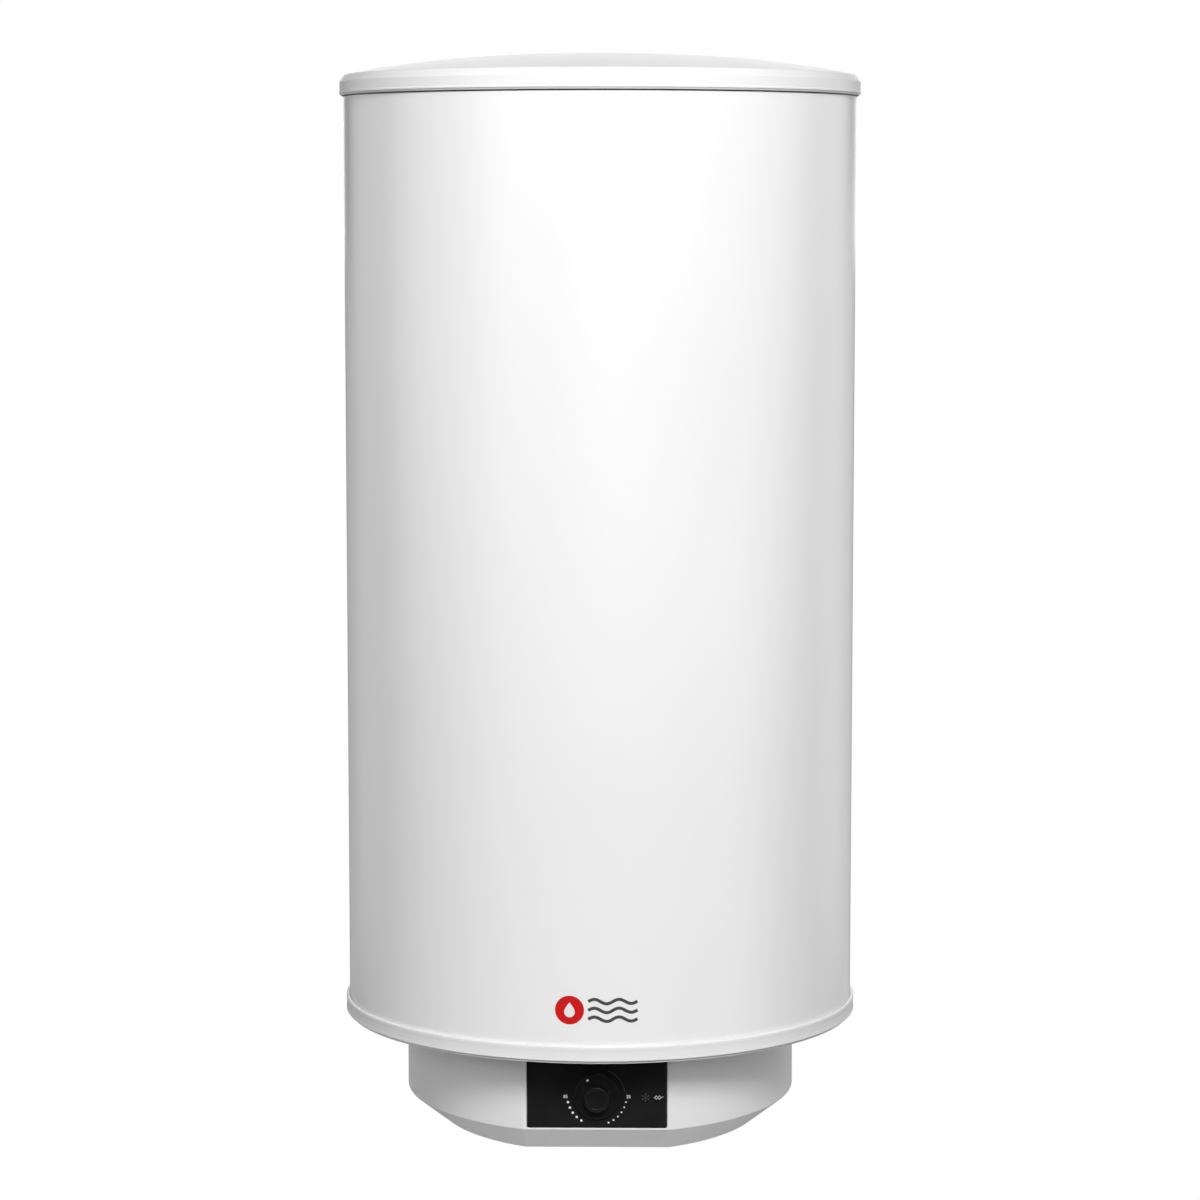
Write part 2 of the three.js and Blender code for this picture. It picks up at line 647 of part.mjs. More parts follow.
// The cover's solid outline, grown inwards by an inset, and by another at its flat front.
function coverBlank(inset, flatInset, top, lift) {
  const raised = ([share, height], rise) => [share, height + rise];
  const bends = COVER_BENDS.map((level, i) => {
    const rise = i === COVER_BENDS.length - 1 ? inset : lift;
    return { flats: raised(level.flats, rise), sides: raised(level.sides, rise) };
  });
  const levels = [{ flats: [0, top], sides: [0, top] }, ...bends];
  const rings = levels.map((level) => coverLevel(level, inset, flatInset));
  return new LoftGeometry(rings.reverse(), { capStart: true, capEnd: true });
}

function lampWindow(x, size) {
  const half = size / 2;
  return block([x - half, -COVER_FRONT_FLAT - 1, LAMP_HEIGHT - half],
    [x + half, -COVER_FRONT_FLAT + 10, LAMP_HEIGHT + half]);
}

function serviceCover() {
  const top = FLOOR_UNDERSIDE - GAP;
  const outer = coverBlank(0, 0, top, 0);
  const inner = coverBlank(COVER_WALL, COVER_FRONT_WALL, top + 1, 1);
  const halfPocket = FASCIA_WIDTH / 2 + GAP;
  const pocket = block([-halfPocket, -COVER_FRONT_FLAT - 1, FASCIA_TOP - FASCIA_HEIGHT - GAP],
    [halfPocket, -COVER_FRONT_FLAT + POCKET_DEPTH, FASCIA_TOP + GAP]);
  const shaftHole = facingForward(rod(6, 0, 20)).translate(0, -COVER_FRONT_FLAT + 10, DIAL_HEIGHT);
  const glandHole = facingBack(rod(GLAND_THREAD_RADIUS + 0.4, -10, 10))
    .translate(0, COVER_BACK_FLAT, GLAND_HEIGHT);
  const [postRadius, wellRadius, pilotRadius, seat] = [8, 5.5, 2.3, COVER_SCREW_SEAT];
  const atScrews = (make) => coverScrewPlaces.map(([x, y]) => make().translate(x, y, 0));
  const posts = atScrews(() => rod(postRadius, COVER_BOTTOM + 1, top));
  const wells = atScrews(() => rod(wellRadius, COVER_BOTTOM - 1, seat));
  const pilots = atScrews(() => rod(pilotRadius, seat - 1, top + 1, 8));
  const shell = cut(outer, inner, pocket, shaftHole, glandHole,
    lampWindow(HEATING_LAMP_X, LAMP_WINDOW + 0.8), lampWindow(FROST_LAMP_X, LAMP_WINDOW + 0.8));
  return cut(join(shell, ...posts), ...wells, ...pilots);
}

// A pan-head self-tapping screw, head down, whose head's upper face is at height 0.
function coverScrew() {
  const [headRadius, headHeight, domeRadius, domeStart] = [4.6, 3.6, 3.4, 2.2];
  const [threadRadius, threadEnd, tipRadius, tip] = [1.8, 17, 0.4, 19];
  return turned([[0, -headHeight], [domeRadius, -headHeight], [headRadius, -domeStart], [headRadius, 0],
    [threadRadius, 0], [threadRadius, threadEnd], [tipRadius, tip], [0, tip]], 8);
}

const fasciaFace = -COVER_FRONT_FLAT + POCKET_DEPTH - GAP - FASCIA_THICKNESS;

function controlFascia() {
  const outline = roundedRectangle(FASCIA_WIDTH, FASCIA_HEIGHT, FASCIA_CORNER);
  const plate = facingForward(extruded(outline, FASCIA_THICKNESS, 3))
    .translate(0, fasciaFace + FASCIA_THICKNESS, FASCIA_TOP - FASCIA_HEIGHT / 2);
  const shaftHole = facingForward(rod(5, 0, 20)).translate(0, -COVER_FRONT_FLAT + 10, DIAL_HEIGHT);
  return cut(plate, shaftHole, lampWindow(HEATING_LAMP_X, LAMP_WINDOW + 0.6),
    lampWindow(FROST_LAMP_X, LAMP_WINDOW + 0.6));
}

// ---- controls ----------------------------------------------------------------------------

// A thin round skirt with a raised grip, hollow behind, with a boss for the shaft; its back is
// at height 0.
function temperatureKnob() {
  const [bossRadius, bossBottom, shaftBore, shaftDepth] = [6, 0.5, 3.35, 10.5];
  const [gripBore, gripCeiling, gripTaper, gripChamfer] = [9, 12, 0.7, 0.8];
  const [skirtBore, skirtCeiling, skirtChamfer] = [18.4, 1.8, 0.6];
  const gripTip = KNOB_GRIP_RADIUS - gripTaper;
  return facingForward(turned([
    [0, shaftDepth],
    [shaftBore, shaftDepth],
    [shaftBore, bossBottom],
    [bossRadius, bossBottom],
    [bossRadius, gripCeiling],
    [gripBore, gripCeiling],
    [gripBore, skirtCeiling],
    [skirtBore, skirtCeiling],
    [skirtBore, 0],
    [KNOB_RADIUS, 0],
    [KNOB_RADIUS, KNOB_SKIRT - skirtChamfer],
    [KNOB_RADIUS - skirtChamfer, KNOB_SKIRT],
    [KNOB_GRIP_RADIUS, KNOB_SKIRT],
    [gripTip, KNOB_DEPTH - gripChamfer],
    [gripTip - gripChamfer, KNOB_DEPTH],
    [0, KNOB_DEPTH],
  ], 24));
}

// A 6 mm shaft with a flat near its end; its back end is at height 0.
function thermostatShaft(length) {
  const flatDepth = 1.2;
  const flatLength = 9;
  const flat = block([SHAFT_RADIUS - flatDepth, -5, length - flatLength],
    [SHAFT_RADIUS + 1, 5, length + 1]);
  return facingForward(cut(rod(SHAFT_RADIUS, 0, length), flat));
}

const controlBack = -112;           // both controls' backs, on their bracket
const thermostatFace = -138;
const thermostatHalfWidth = 22;
const thermostatBottom = -60;
const thermostatTop = -22;
const thermostatTabX = 12;
const shaftDepth = 8;               // how far the shaft and its bore go into the thermostat
const cutoutFace = -134;
const cutoutBottom = -56;
const cutoutTabX = -38;
const resetX = -45;
const resetZ = -40;
const resetDepth = 8;
const tabPlane = -125.5;            // mid-plane of the controls' push-on tabs

// A flat push-on tab that hangs below a control.
function tab(x, bodyBottom) {
  const [halfWidth, halfThickness, reach] = [3, 0.5, 7];
  return block([x - halfWidth, tabPlane - halfThickness, bodyBottom - reach],
    [x + halfWidth, tabPlane + halfThickness, bodyBottom + 1]);
}

function regulatingThermostat() {
  const [bushRadius, bushLength] = [5, 13];
  const body = block([-thermostatHalfWidth, thermostatFace, thermostatBottom],
    [thermostatHalfWidth, controlBack, thermostatTop]);
  const bush = facingForward(rod(bushRadius, 0, bushLength))
    .translate(0, thermostatFace + 1, DIAL_HEIGHT);
  const bore = facingForward(rod(SHAFT_RADIUS + 0.4, 0, bushLength + 2 * shaftDepth))
    .translate(0, thermostatFace + shaftDepth, DIAL_HEIGHT);
  const tabs = [-thermostatTabX, thermostatTabX].map((x) => tab(x, thermostatBottom));
  return cut(join(body, bush, ...tabs), bore);
}

function safetyCutout() {
  const [left, right, top, boreRadius] = [-60, -30, -24, 3.4];
  const body = block([left, cutoutFace, cutoutBottom], [right, controlBack, top]);
  const bore = facingForward(rod(boreRadius, 0, 20)).translate(resetX, cutoutFace + resetDepth + 3, resetZ);
  return cut(join(body, tab(cutoutTabX, cutoutBottom)), bore);
}

// The reset plunger; its inner end is at height 0 and its rounded tip points forward.
function resetButton() {
  const [radius, length, rounding] = [3, 13.5, 0.9];
  return facingForward(turned([[0, 0], [radius, 0], [radius, length - rounding],
    [radius - rounding, length], [0, length]]));
}

function componentBracket() {
  const top = FLANGE_PLATE_BOTTOM - GAP;
  const back = controlBack + GAP + SHEET;
  const [armHalfWidth, armEnd, faceHalfWidth, faceBottom] = [50, -52, 62, -64];
  const arm = block([-armHalfWidth, back - SHEET, top - SHEET], [armHalfWidth, armEnd, top]);
  const face = block([-faceHalfWidth, back - SHEET, faceBottom], [faceHalfWidth, back, top]);
  return cut(join(arm, face), ...boltHoles(top - SHEET - 1, top + 1));
}

function terminalBracket() {
  const top = FLANGE_PLATE_BOTTOM - GAP;
  const [halfWidth, front, back] = [48, 52, 97];
  const plate = block([-halfWidth, front, top - SHEET], [halfWidth, back, top]);
  return cut(plate, ...boltHoles(top - SHEET - 1, top + 1));
}

const blockBottom = -38;
const blockFront = 64;
const blockBack = 94;
const terminalY = (blockFront + blockBack) / 2;
const terminalPitch = 15;
const terminalX = [-terminalPitch, 0, terminalPitch];

function terminalBlock() {
  const [halfWidth, grooveHalf, grooveDepth, screwHole, screwDepth] = [26, 1.5, 5, 2.2, 14];
  const body = block([-halfWidth, blockFront, blockBottom],
    [halfWidth, blockBack, FLANGE_PLATE_BOTTOM - 2 * GAP - SHEET]);
  const grooves = [-terminalPitch / 2, terminalPitch / 2].map((x) =>
    block([x - grooveHalf, blockFront - 1, blockBottom - 1],
      [x + grooveHalf, blockBack + 1, blockBottom + grooveDepth]));
  const holes = terminalX.map((x) =>
    rod(screwHole, blockBottom - 1, blockBottom + screwDepth, 8).translate(x, terminalY, 0));
  return cut(body, ...grooves, ...holes);
}

// A cheese-head clamp screw, head down, whose head's upper face is at height 0.
function terminalScrew() {
  const [headRadius, headHeight, threadRadius, length] = [3.2, 2.2, 1.8, 12];
  return turned([[0, -headHeight], [headRadius, -headHeight], [headRadius, 0], [threadRadius, 0],
    [threadRadius, length], [0, length]], 8);
}

function earthStud() {
  const [radius, length, nutRadius, nutHeight] = [2, 16, 4.2, 6];
  return turned([[0, -length], [radius, -length], [radius, -nutHeight], [nutRadius, -nutHeight],
    [nutRadius, 0], [0, 0]], 8);
}

// A square light guide with a collar behind the cover's wall.
function lampLens() {
  const half = LAMP_WINDOW / 2;
  const collar = half + 1;
  const frontDepth = -(fasciaFace + COVER_FRONT_FLAT - COVER_FRONT_WALL) + GAP;
  return join(block([-half, -frontDepth, -half], [half, 3, half]),
    block([-collar, 0, -collar], [collar, 1.5, collar]));
}

function lampBoard() {
  const [left, right, bottom, top] = [34, 61, -54, -31];
  const [front, thickness, lampHalf, lampRise] = [-160.2, 1.6, 1.6, 1];
  const board = block([left, front, bottom], [right, front + thickness, top]);
  const lamp = (x) => block([x - lampHalf, front - lampRise, LAMP_HEIGHT - lampHalf],
    [x + lampHalf, front + 0.2, LAMP_HEIGHT + lampHalf]);
  return join(board, lamp(HEATING_LAMP_X), lamp(FROST_LAMP_X));
}

// A screwed cable gland: thread through the wall, collar, and a domed clamping nut.
function cableGland() {
  const [threadEnd, collarRadius, collarEnd, nutRadius, nutEnd, mouthRadius, mouth] =
    [-11, 12.5, 6, 11.5, 15, 8, 20];
  return facingBack(turned([
    [GLAND_BORE, threadEnd],
    [GLAND_THREAD_RADIUS, threadEnd],
    [GLAND_THREAD_RADIUS, GAP],
    [collarRadius, GAP],
    [collarRadius, collarEnd],
    [nutRadius, collarEnd + 0.5],
    [nutRadius, nutEnd],
    [mouthRadius, mouth],
    [GLAND_BORE, mouth],
  ]));
}

// ---- capillaries and leads ---------------------------------------------------------------

// A capillary ends in a bulb inside the thermowell; it comes from a control below the flange.
function capillary(startX, startZ, side, level) {
  const [wellX, wellY] = THERMOWELL_PLACE;
  const x = wellX + side * BULB_OFFSET;
  const bulb = rod(BULB_RADIUS, 170, 270, 8).translate(x, wellY, 0);
  const route = [
    [startX, -119, startZ],
    [startX, -118, level + 6],
    [startX, -106, level],
    [startX + (x - startX) * 0.3, -70, level],
    [x, -12, level + 2],
    [x, 12, level + 9],
    [x, wellY, -38],
    [x, wellY, -10],
    [x, wellY, 40],
    [x, wellY, 105],
    [x, wellY, 171],
  ];
  return join(flexible(route, CAPILLARY_RADIUS, 32), bulb);
}

const leadRoutes = {
  supply_lead: [[-15, 63.5, -30], [-15, 57, -30.5], [-30, 38, -40], [-50, 0, -44], [-66, -45, -44],
    [-72, -90, -42], [-71, -113, -40], [-66, -121.5, -40], [-60.6, -122, -40]],
  link_lead: [[-38, -125.5, -63.5], [-38, -125.5, -68], [-33, -125.5, -73.5], [-20, -125.5, -74.5],
    [-12, -125.5, -72], [-12, -125.5, -67.5]],
  element_live_lead: [[12, -125.5, -67.5], [12, -125.3, -71], [24, -120, -75.5], [40, -96, -72],
    [42, -55, -62], [34, -25, -58], [25, -15.5, -52], [24, -15, -41.9]],
  element_neutral_lead: [[15, 63.5, -30], [15, 57, -30.5], [0, 30, -44], [-14, 5, -52],
    [-22, -12, -54], [-24, -15, -50], [-24, -15, -41.9]],
  earth_lead: [[0, 63.6, -30], [0, 56, -30.5], [0, 48.5, -30]],
  lamp_lead: [[22.5, -134, -50], [27, -134, -50], [33, -139, -51], [40, -146, -50],
    [44, -152, -48], [44, -158.2, -46]],
};
const leadSteps = {
  supply_lead: 28,
  link_lead: 11,
  element_live_lead: 24,
  element_neutral_lead: 16,
  earth_lead: 3,
  lamp_lead: 8,
};
const leadFinishes = {
  supply_lead: brownLead,
  link_lead: brownLead,
  element_live_lead: brownLead,
  element_neutral_lead: blueLead,
  earth_lead: earthLead,
  lamp_lead: blackPlastic,
};

// ---- build the scene ---------------------------------------------------------------------

add('outer_jacket', outerJacket(), whiteEnamel());
add('top_cap', topCap(), whitePlastic());
add('bottom_cap', bottomCap(), whitePlastic());
add('insulation_foam', insulationFoam(), foamYellow());
add('inner_tank', innerTank(), blueGreyEnamel());

add('flange_ring', flangeRing(), galvanised());
add('flange_gasket', flangeGasket(), siliconeRed());
add('flange_plate', flangePlate(), blueGreyEnamel());
boltPlaces.forEach(([x, y], i) => {
  const hasBracket = Math.abs(y) > 1;
  const seat = FLANGE_PLATE_BOTTOM - GAP - (hasBracket ? SHEET + GAP : 0);
  add(`flange_bolt_${i + 1}`, flangeBolt(hasBracket), zincSteel(), [x, y, seat]);
});

add('heating_element', heatingElement(), copper());
add('element_terminal_left', elementTerminal(), whiteCeramic(),
  [elementLegX[0], ELEMENT_Y, ELEMENT_END - GAP]);
add('element_terminal_right', elementTerminal(), whiteCeramic(),
  [elementLegX[ELEMENT_LEGS - 1], ELEMENT_Y, ELEMENT_END - GAP]);
add('anode_rod', anodeRod(), magnesium(), [...ANODE_PLACE, 0]);
add('anode_nut', hexNut(STUD_RADIUS + 0.4, 7.5, 6.5), zincSteel(),
  [...ANODE_PLACE, FLANGE_PLATE_BOTTOM - GAP - 6.5]);
add('thermowell', thermowell(), copper(), [...THERMOWELL_PLACE, 0]);

add('cold_inlet_pipe', pipeStub(), galvanised(), [...pipePlaces[1], 0]);
add('hot_outlet_pipe', pipeStub(), galvanised(), [...pipePlaces[0], 0]);
add('hot_riser', hotRiser(), zincSteel(), [...pipePlaces[0], 0]);
add('inlet_diffuser', inletDiffuser(), whitePlastic(), [...pipePlaces[1], 0]);
add('cold_water_collar', waterCollar(), plainBlue(), [...pipePlaces[1], 0]);
add('hot_water_collar', waterCollar(), plainRed(), [...pipePlaces[0], 0]);

add('wall_bracket', wallBracket(), galvanised(), [0, 0, WALL_BRACKET_LEVEL]);
add('lower_spacer', lowerSpacer(), whitePlastic(), [0, 0, SPACER_LEVEL]);

add('service_cover', serviceCover(), whitePlastic());
coverScrewPlaces.forEach(([x, y], i) => {
  add(`cover_screw_${i + 1}`, coverScrew(), zincSteel(), [x, y, COVER_SCREW_SEAT - GAP]);
});
add('control_fascia', controlFascia(), blackGloss());
add('temperature_knob', temperatureKnob(), blackPlastic(), [0, fasciaFace - KNOB_CLEARANCE, DIAL_HEIGHT]);
add('thermostat_shaft', thermostatShaft(46), zincSteel(),
  [0, thermostatFace + shaftDepth - 0.4, DIAL_HEIGHT]);
add('regulating_thermostat', regulatingThermostat(), darkBakelite());
add('safety_cutout', safetyCutout(), darkBakelite());
add('reset_button', resetButton(), plainRed(), [resetX, cutoutFace + resetDepth, resetZ]);
add('heating_lamp_lens', lampLens(), clearLens(),
  [HEATING_LAMP_X, -COVER_FRONT_FLAT + COVER_FRONT_WALL + GAP, LAMP_HEIGHT]);
add('frost_lamp_lens', lampLens(), clearLens(),
  [FROST_LAMP_X, -COVER_FRONT_FLAT + COVER_FRONT_WALL + GAP, LAMP_HEIGHT]);
add('lamp_board', lampBoard(), circuitBoard());

add('component_bracket', componentBracket(), galvanised());
add('terminal_bracket', terminalBracket(), galvanised());
add('terminal_block', terminalBlock(), whitePlastic());
terminalX.forEach((x, i) => {
  add(`terminal_screw_${i + 1}`, terminalScrew(), brass(), [x, terminalY, blockBottom - GAP]);
});
add('earth_stud', earthStud(), brass(), [0, 46, FLANGE_PLATE_BOTTOM - GAP]);
add('cable_gland', cableGland(), blackPlastic(), [0, COVER_BACK_FLAT, GLAND_HEIGHT]);
add('gland_nut', facingBack(hexNut(GLAND_THREAD_RADIUS + 0.4, 13, 5)), blackPlastic(),
  [0, COVER_BACK_FLAT - COVER_WALL - GAP - 5, GLAND_HEIGHT]);

add('regulator_capillary', capillary(6, -60.4, 1, -80), copper());
add('cutout_capillary', capillary(-52, -56.4, -1, -76), copper());
for (const [name, route] of Object.entries(leadRoutes)) {
  add(name, flexible(route, LEAD_RADIUS, leadSteps[name]), leadFinishes[name]());
}

export default heater;
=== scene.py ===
import json
import math

import bmesh
import bpy
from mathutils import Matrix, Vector

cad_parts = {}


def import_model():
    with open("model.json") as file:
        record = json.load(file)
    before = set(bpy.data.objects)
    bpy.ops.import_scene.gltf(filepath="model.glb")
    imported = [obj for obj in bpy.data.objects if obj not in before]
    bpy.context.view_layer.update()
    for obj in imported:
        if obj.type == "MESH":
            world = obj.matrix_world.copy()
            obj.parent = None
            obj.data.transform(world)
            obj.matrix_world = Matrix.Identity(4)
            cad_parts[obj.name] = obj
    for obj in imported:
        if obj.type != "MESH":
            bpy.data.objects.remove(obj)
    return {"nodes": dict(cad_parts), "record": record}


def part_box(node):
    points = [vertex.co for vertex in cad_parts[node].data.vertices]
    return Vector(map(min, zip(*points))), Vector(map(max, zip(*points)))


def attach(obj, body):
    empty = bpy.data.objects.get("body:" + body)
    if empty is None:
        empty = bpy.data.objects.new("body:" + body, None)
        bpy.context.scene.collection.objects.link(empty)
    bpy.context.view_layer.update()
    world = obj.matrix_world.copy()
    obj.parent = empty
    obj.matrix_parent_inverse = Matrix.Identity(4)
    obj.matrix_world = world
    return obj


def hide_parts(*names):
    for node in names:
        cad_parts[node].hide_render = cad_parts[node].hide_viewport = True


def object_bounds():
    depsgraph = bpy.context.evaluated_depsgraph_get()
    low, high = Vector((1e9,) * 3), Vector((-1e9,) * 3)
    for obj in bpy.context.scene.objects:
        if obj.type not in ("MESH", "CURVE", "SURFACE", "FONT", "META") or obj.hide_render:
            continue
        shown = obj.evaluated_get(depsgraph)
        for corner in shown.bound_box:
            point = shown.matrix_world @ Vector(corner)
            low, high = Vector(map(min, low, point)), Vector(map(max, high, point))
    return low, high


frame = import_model()
cad_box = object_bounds()

# ---- dimensions, in millimetres -----------------------------------------------------------

MM = 0.001
GAP = 0.3                   # air between neighbouring parts
CREASE = 32                 # degrees: edges sharper than this are not shaded smooth

JACKET_RADIUS = 227.0
JACKET_WALL = 0.8
JACKET_BOTTOM = 4.3
JACKET_TOP = 825.0
LEG_SLOT_START = 100.0
SEAM_ANGLE = 62.0           # degrees round from +X
SEAM_HALF_WIDTH = 5.5
SEAM_HEIGHT = 0.9

CAP_RADIUS = 230.88         # of the lip round its lower edge
CAP_LIP_UNDERSIDE = 229.3
CAP_FACE_INSET = 0.4
CAP_LINE = 818.4            # level of the joint with the jacket
CAP_HEIGHT = 854.78
CAP_CROWN_DROP = 18.4
CAP_CROWN_POWER = 2.45
CAP_CROWN_STEP = 14
CAP_SHOULDER = 226.0
CAP_WALL = 2.5
CAP_FACE = 11.9
SKIRT_CLEARANCE = 0.4       # between the jacket and the cap's or the rim's skirt

RIM_RADIUS = 230.1
RIM_WAIST = 0.22
RIM_HEIGHT = 13.1
RIM_GROOVE_RADIUS = 225.0
RIM_STEP_RADIUS = 227.4
RIM_STEP_DROP = 2.4
PIPE_HOLE_RADIUS = 17.0
FLOOR_UNDERSIDE = 1.5
FLOOR_TOP = 4.0
FLOOR_OPENING = 95.0

COVER_TOP = 1.2
COVER_FLAT = 170.0
COVER_BACK = 112.0
# Half widths, the reach of the round front, and the distances to the flat front and back.
WALL_PLAN = {"side": 175.3, "front": 183.6, "flat": COVER_FLAT, "back": COVER_BACK}
FOOT_PLAN = {"side": 145.8, "front": 162.5, "flat": 145.3, "back": 84.0}
COVER_WIDEST = 14.0         # how far behind the tank's axis the cover is widest
COVER_CORNER = 9.0          # rounding of the corners beside the flat front
COVER_BEND = -74.2
COVER_BOTTOM = -96.2
FLOOR_REACH = 62 / 35       # how far the flat underside runs in, in chamfers
BEND_SPREAD = 0.5
COVER_WALL = 2.5
COVER_FRONT_WALL = 5.0
SCREW_PLACES = [(118, 45), (-118, 45), (108, -80), (-108, -80)]
SCREW_SEAT = -8.0           # top of the wells that the cover screws sit in
WELL_RADIUS = 5.5
POST_RADIUS = 8.0

FASCIA_WIDTH = 121.2
FASCIA_HEIGHT = 70.6
FASCIA_TOP = -2.0
FASCIA_MIDDLE = FASCIA_TOP - FASCIA_HEIGHT / 2
FASCIA_SUNK = 0.1           # how far its face lies behind the cover's
POCKET_DEPTH = 2.4
PRINT_LIFT = 0.05
PRINT_Y = -COVER_FLAT + FASCIA_SUNK - PRINT_LIFT

DIAL_HEIGHT = -44.4
DIAL_RING = 25.7            # radius of the ring of dots
ARC_INSET = 1.3
NUMBER_DROP = 0.6           # how far the numbers stand below the dial's centre
KNOB_RADIUS = 19.8
KNOB_SKIRT = 3.5
KNOB_GRIP = 11.6
KNOB_BACK = -170.5
KNOB_DEPTH = 14.5
POINTER_RADIUS = 16.6
POINTER_ANGLE = 119.0       # degrees anticlockwise from three o'clock, at rest
LAMP_HEIGHT = -45.7
LAMP_SIZE = 8.4
HEATING_X = 53.4
FROST_X = 42.2

BRACKET_LEVEL = 715.0
BRACKET_HALF_HEIGHT = 25.0
BRACKET_HALF_WIDTH = 130.0
BRACKET_PLATE = 3.0
HOOK_SLOT_X = 105.0
HOOK_SLOT_RADIUS = 6.5
HOOK_SLOT_HALF_HEIGHT = 14.0
LEG_X = 60.0
WALL_Y = 238.0              # plane of the wall
SPACER_LEVEL = 155.0
PIPE_X = 50.0
PIPE_Y = 135.0
GLAND_HEIGHT = -50.0

EMBLEM_HEIGHT = 43.8
EMBLEM_DISC_X = -22.4
EMBLEM_DISC_RADIUS = 12.4
EMBLEM_DROP_RADIUS = 4.6
EMBLEM_WAVES_X = 14.5

# The tank's axis and level, read from the frame itself.
jacket_low, jacket_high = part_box("outer_jacket")
rim_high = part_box("bottom_cap")[1]
ORIGIN = Vector((
    (jacket_low.x + jacket_high.x) / 2,
    (jacket_low.y + jacket_high.y) / 2,
    rim_high.z - RIM_HEIGHT * MM,
))


def world(point):
    """A point of the tank's own frame, in millimetres, put in its place in metres."""
    return ORIGIN + Vector(point) * MM


# ---- materials ----------------------------------------------------------------------------

def ramp_node(nodes, low, high, first, second):
    ramp = nodes.new("ShaderNodeValToRGB")
    ramp.color_ramp.elements[0].position = low
    ramp.color_ramp.elements[1].position = high
    ramp.color_ramp.elements[0].color = (*first, 1)
    ramp.color_ramp.elements[1].color = (*second, 1)
    return ramp


def grey(value):
    return (value, value, value)


def surface(name, dark, light, rough=(0.35, 0.45), patch=9, grain=900, depth=0.0, waves=0.0,
            metallic=0.0, specular=0.5, coat=0.0, coat_rough=0.1, glow=None, cells=False,
            contrast=(0.35, 0.65), sheen=0.0):
    """A procedural finish: patchy colour and roughness, a fine grain and broad waves as bump.

    patch and grain are noise scales; depth and waves are heights of the bump in millimetres.
    """
    material = bpy.data.materials.new(name)
    material.use_nodes = True
    nodes, links = material.node_tree.nodes, material.node_tree.links
    shader = nodes["Principled BSDF"]
    shader.inputs["Metallic"].default_value = metallic
    shader.inputs["Specular IOR Level"].default_value = specular
    shader.inputs["Coat Weight"].default_value = coat
    shader.inputs["Coat Roughness"].default_value = coat_rough
    shader.inputs["Sheen Weight"].default_value = sheen
    place = nodes.new("ShaderNodeTexCoord").outputs["Object"]

    if cells:
        patches = nodes.new("ShaderNodeTexVoronoi")
        patches.inputs["Scale"].default_value = patch
        separate = nodes.new("ShaderNodeSeparateColor")
        links.new(patches.outputs["Color"], separate.inputs["Color"])
        factor = separate.outputs["Red"]
    else:
        patches = nodes.new("ShaderNodeTexNoise")
        patches.inputs["Scale"].default_value = patch
        patches.inputs["Detail"].default_value = 5
        factor = patches.outputs["Fac"]
    links.new(place, patches.inputs["Vector"])
    colour = ramp_node(nodes, *contrast, dark, light)
    links.new(factor, colour.inputs["Fac"])
    links.new(colour.outputs["Color"], shader.inputs["Base Color"])

    fine = nodes.new("ShaderNodeTexNoise")
    fine.inputs["Scale"].default_value = grain
    fine.inputs["Detail"].default_value = 2
    links.new(place, fine.inputs["Vector"])
    gloss = nodes.new("ShaderNodeMapRange")
    gloss.inputs["From Min"].default_value = 0.3
    gloss.inputs["From Max"].default_value = 0.7
    gloss.inputs["To Min"].default_value = rough[0]
    gloss.inputs["To Max"].default_value = rough[1]
    links.new(factor if cells else fine.outputs["Fac"], gloss.inputs["Value"])
    links.new(gloss.outputs["Result"], shader.inputs["Roughness"])

    normal = None
    if waves:
        broad = nodes.new("ShaderNodeTexNoise")
        broad.inputs["Scale"].default_value = 7
        broad.inputs["Detail"].default_value = 1
        links.new(place, broad.inputs["Vector"])
        swell = nodes.new("ShaderNodeBump")
        swell.inputs["Distance"].default_value = waves * MM
        links.new(broad.outputs["Fac"], swell.inputs["Height"])
        normal = swell.outputs["Normal"]
    if depth:
        bump = nodes.new("ShaderNodeBump")
        bump.inputs["Distance"].default_value = depth * MM
        links.new(fine.outputs["Fac"], bump.inputs["Height"])
        if normal:
            links.new(normal, bump.inputs["Normal"])
        normal = bump.outputs["Normal"]
    if normal:
        links.new(normal, shader.inputs["Normal"])
    if glow:
        shader.inputs["Emission Color"].default_value = (*glow[0], 1)
        shader.inputs["Emission Strength"].default_value = glow[1]
    return material


